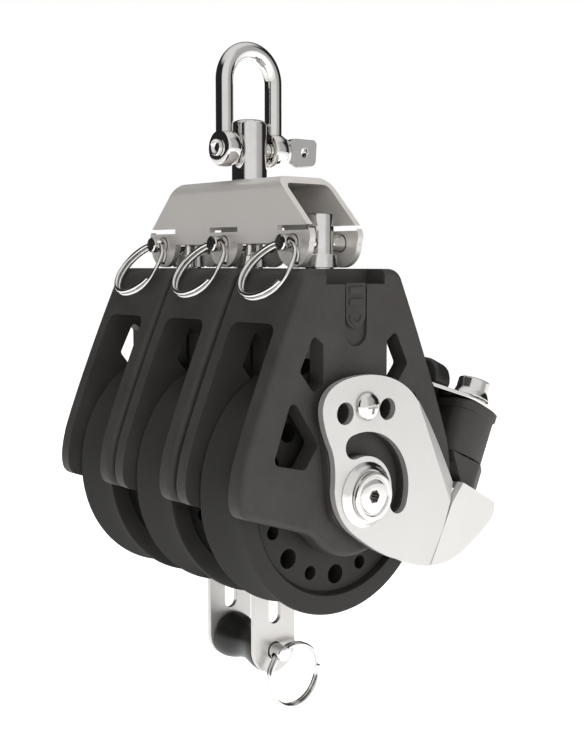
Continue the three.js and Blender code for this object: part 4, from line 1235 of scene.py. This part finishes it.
def cleat_guide():
    low = CAM_TOP + 1.7
    arch = curved((-8, low), (8, low), (8, low + 2), (6.5, low + 8, 0, low + 8),
                  (-6.5, low + 8, -8, low + 2), steps=12)
    return softened(prism(arch, CAM_ALONG - 14.4, CAM_ALONG - 7.4, "x"), 1.2, 4)


def swivel_nut():
    nut = prism(hexagon(13), 81, 85, "z")
    return softened(cut(nut, rod(4.5, 70, 90, "z")), 0.3)


def build_singles():
    straps_apart = 2 * BECKET_OUTER - BECKET_THICKNESS
    rows = [
        (shackle_bow(), "shackle_bow", "shackle", POLISHED),
        (shackle_pin(), "shackle_pin", "shackle", POLISHED),
        (swivel_post(), "swivel_post", "swivel", POLISHED),
        (tube(4.6, 6.2, 85.3, 86.2, "z"), "swivel_washer", "block", POLISHED),
        (head_bracket(), "head_bracket", "block", SATIN),
        (becket_strap(), "becket_strap_cam_side", "block", BRIGHT),
        (shift(becket_strap(), y=straps_apart), "becket_strap_far_side", "block", BRIGHT),
        (becket_spool(), "becket_spool", "becket_spool_body", SPOOL),
        (becket_pin(), "becket_pin", "block", POLISHED),
        (becket_ring(), "becket_ring", "becket_ring_body", POLISHED),
        (cam_arm(), "cam_arm", "block", BRIGHT),
        (arm_pad(), "arm_pad", "block", NYLON),
        (arm_washer(), "arm_washer", "block", POLISHED),
        (arm_screw(), "arm_screw", "block", POLISHED),
        (swivel_nut(), "swivel_nut", "swivel", POLISHED),
    ]
    cleat_rows = [
        (cleat_base(), "cleat_base", "block", NYLON),
        (cleat_strap(), "cleat_strap", "block", POLISHED),
        (cleat_guide(), "cleat_guide", "block", SPOOL),
    ]
    for hand, side in (("near", -1), ("far", 1)):
        cleat_rows += [
            (cam(side), f"cam_{hand}", f"cam_{hand}_body", NYLON),
            (cam_bolt(side), f"cam_bolt_{hand}", "block", POLISHED),
            (cam_spring(side), f"cam_spring_{hand}", "block", SPRING),
            (base_screw(side), f"base_screw_{hand}", "block", POLISHED),
        ]
    for obj, *rest in cleat_rows:
        rows.append((shift(tilted(obj), y=-PITCH), *rest))
    for obj, node, body, look_of in rows:
        settle(obj, body, node, look_of, ARM_SHARP if node == "cam_arm" else SHARP)


# Stage.


def build_floor():
    level = cad_bounds[0][2] - FLOOR_DROP
    corners = ((-1, -1), (1, -1), (1, 1), (-1, 1))
    verts = [(x * FLOOR_HALF, y * FLOOR_HALF, level) for x, y in corners]
    floor = piece("floor", verts, [(0, 1, 2, 3)])
    floor.data.materials.append(pale_floor())


def build_world():
    """White to the camera. Everything else sees the bands of grey."""
    world = bpy.data.worlds.new("studio")
    world.use_nodes = True
    bpy.context.scene.world = world
    nodes = world.node_tree.nodes
    links = world.node_tree.links

    def reckon(operation, first, second):
        step = nodes.new("ShaderNodeMath")
        step.operation = operation
        for socket, value in zip(step.inputs, (first, second)):
            if isinstance(value, (int, float)):
                socket.default_value = value
            else:
                links.new(value, socket)
        return step.outputs["Value"]

    def bands(source, stops):
        ramp = nodes.new("ShaderNodeValToRGB")
        ramp.color_ramp.interpolation = "EASE"
        while len(ramp.color_ramp.elements) < len(stops):
            ramp.color_ramp.elements.new(0.5)
        for element, (position, grey) in zip(ramp.color_ramp.elements, stops):
            element.position = position
            element.color = (grey, grey, grey, 1)
        links.new(source, ramp.inputs["Fac"])
        return ramp.outputs["Color"]

    where = nodes.new("ShaderNodeTexCoord")
    facing = nodes.new("ShaderNodeMapping")
    facing.inputs["Rotation"].default_value = (0, 0, math.radians(CAMERA_AZIMUTH))
    links.new(where.outputs["Generated"], facing.inputs["Vector"])
    split = nodes.new("ShaderNodeSeparateXYZ")
    links.new(facing.outputs["Vector"], split.inputs["Vector"])
    around = reckon("ARCTAN2", split.outputs["X"], reckon("MULTIPLY", split.outputs["Y"], -1))
    around = reckon("ADD", reckon("DIVIDE", around, 2 * math.pi), 0.5)
    height = reckon("ADD", reckon("MULTIPLY", split.outputs["Z"], 0.5), 0.5)
    lighter = nodes.new("ShaderNodeMix")
    lighter.data_type = "RGBA"
    lighter.blend_type = "LIGHTEN"
    lighter.inputs["Factor"].default_value = 1
    links.new(bands(around, HORIZON_GREYS), lighter.inputs["A"])
    links.new(bands(height, HEIGHT_GREYS), lighter.inputs["B"])
    studio = nodes["Background"]
    links.new(lighter.outputs["Result"], studio.inputs["Color"])
    backdrop = nodes.new("ShaderNodeBackground")
    backdrop.inputs["Color"].default_value = (1, 1, 1, 1)
    rays = nodes.new("ShaderNodeLightPath")
    mix = nodes.new("ShaderNodeMixShader")
    links.new(rays.outputs["Is Camera Ray"], mix.inputs["Fac"])
    links.new(studio.outputs["Background"], mix.inputs[1])
    links.new(backdrop.outputs["Background"], mix.inputs[2])
    links.new(mix.outputs["Shader"], nodes["World Output"].inputs["Surface"])


def build_stage():
    look()
    build_floor()
    build_world()
    bpy.context.scene.view_settings.view_transform = "Standard"
    for lamp in LAMPS:
        softbox(*lamp)


build_units()
build_singles()
build_stage()
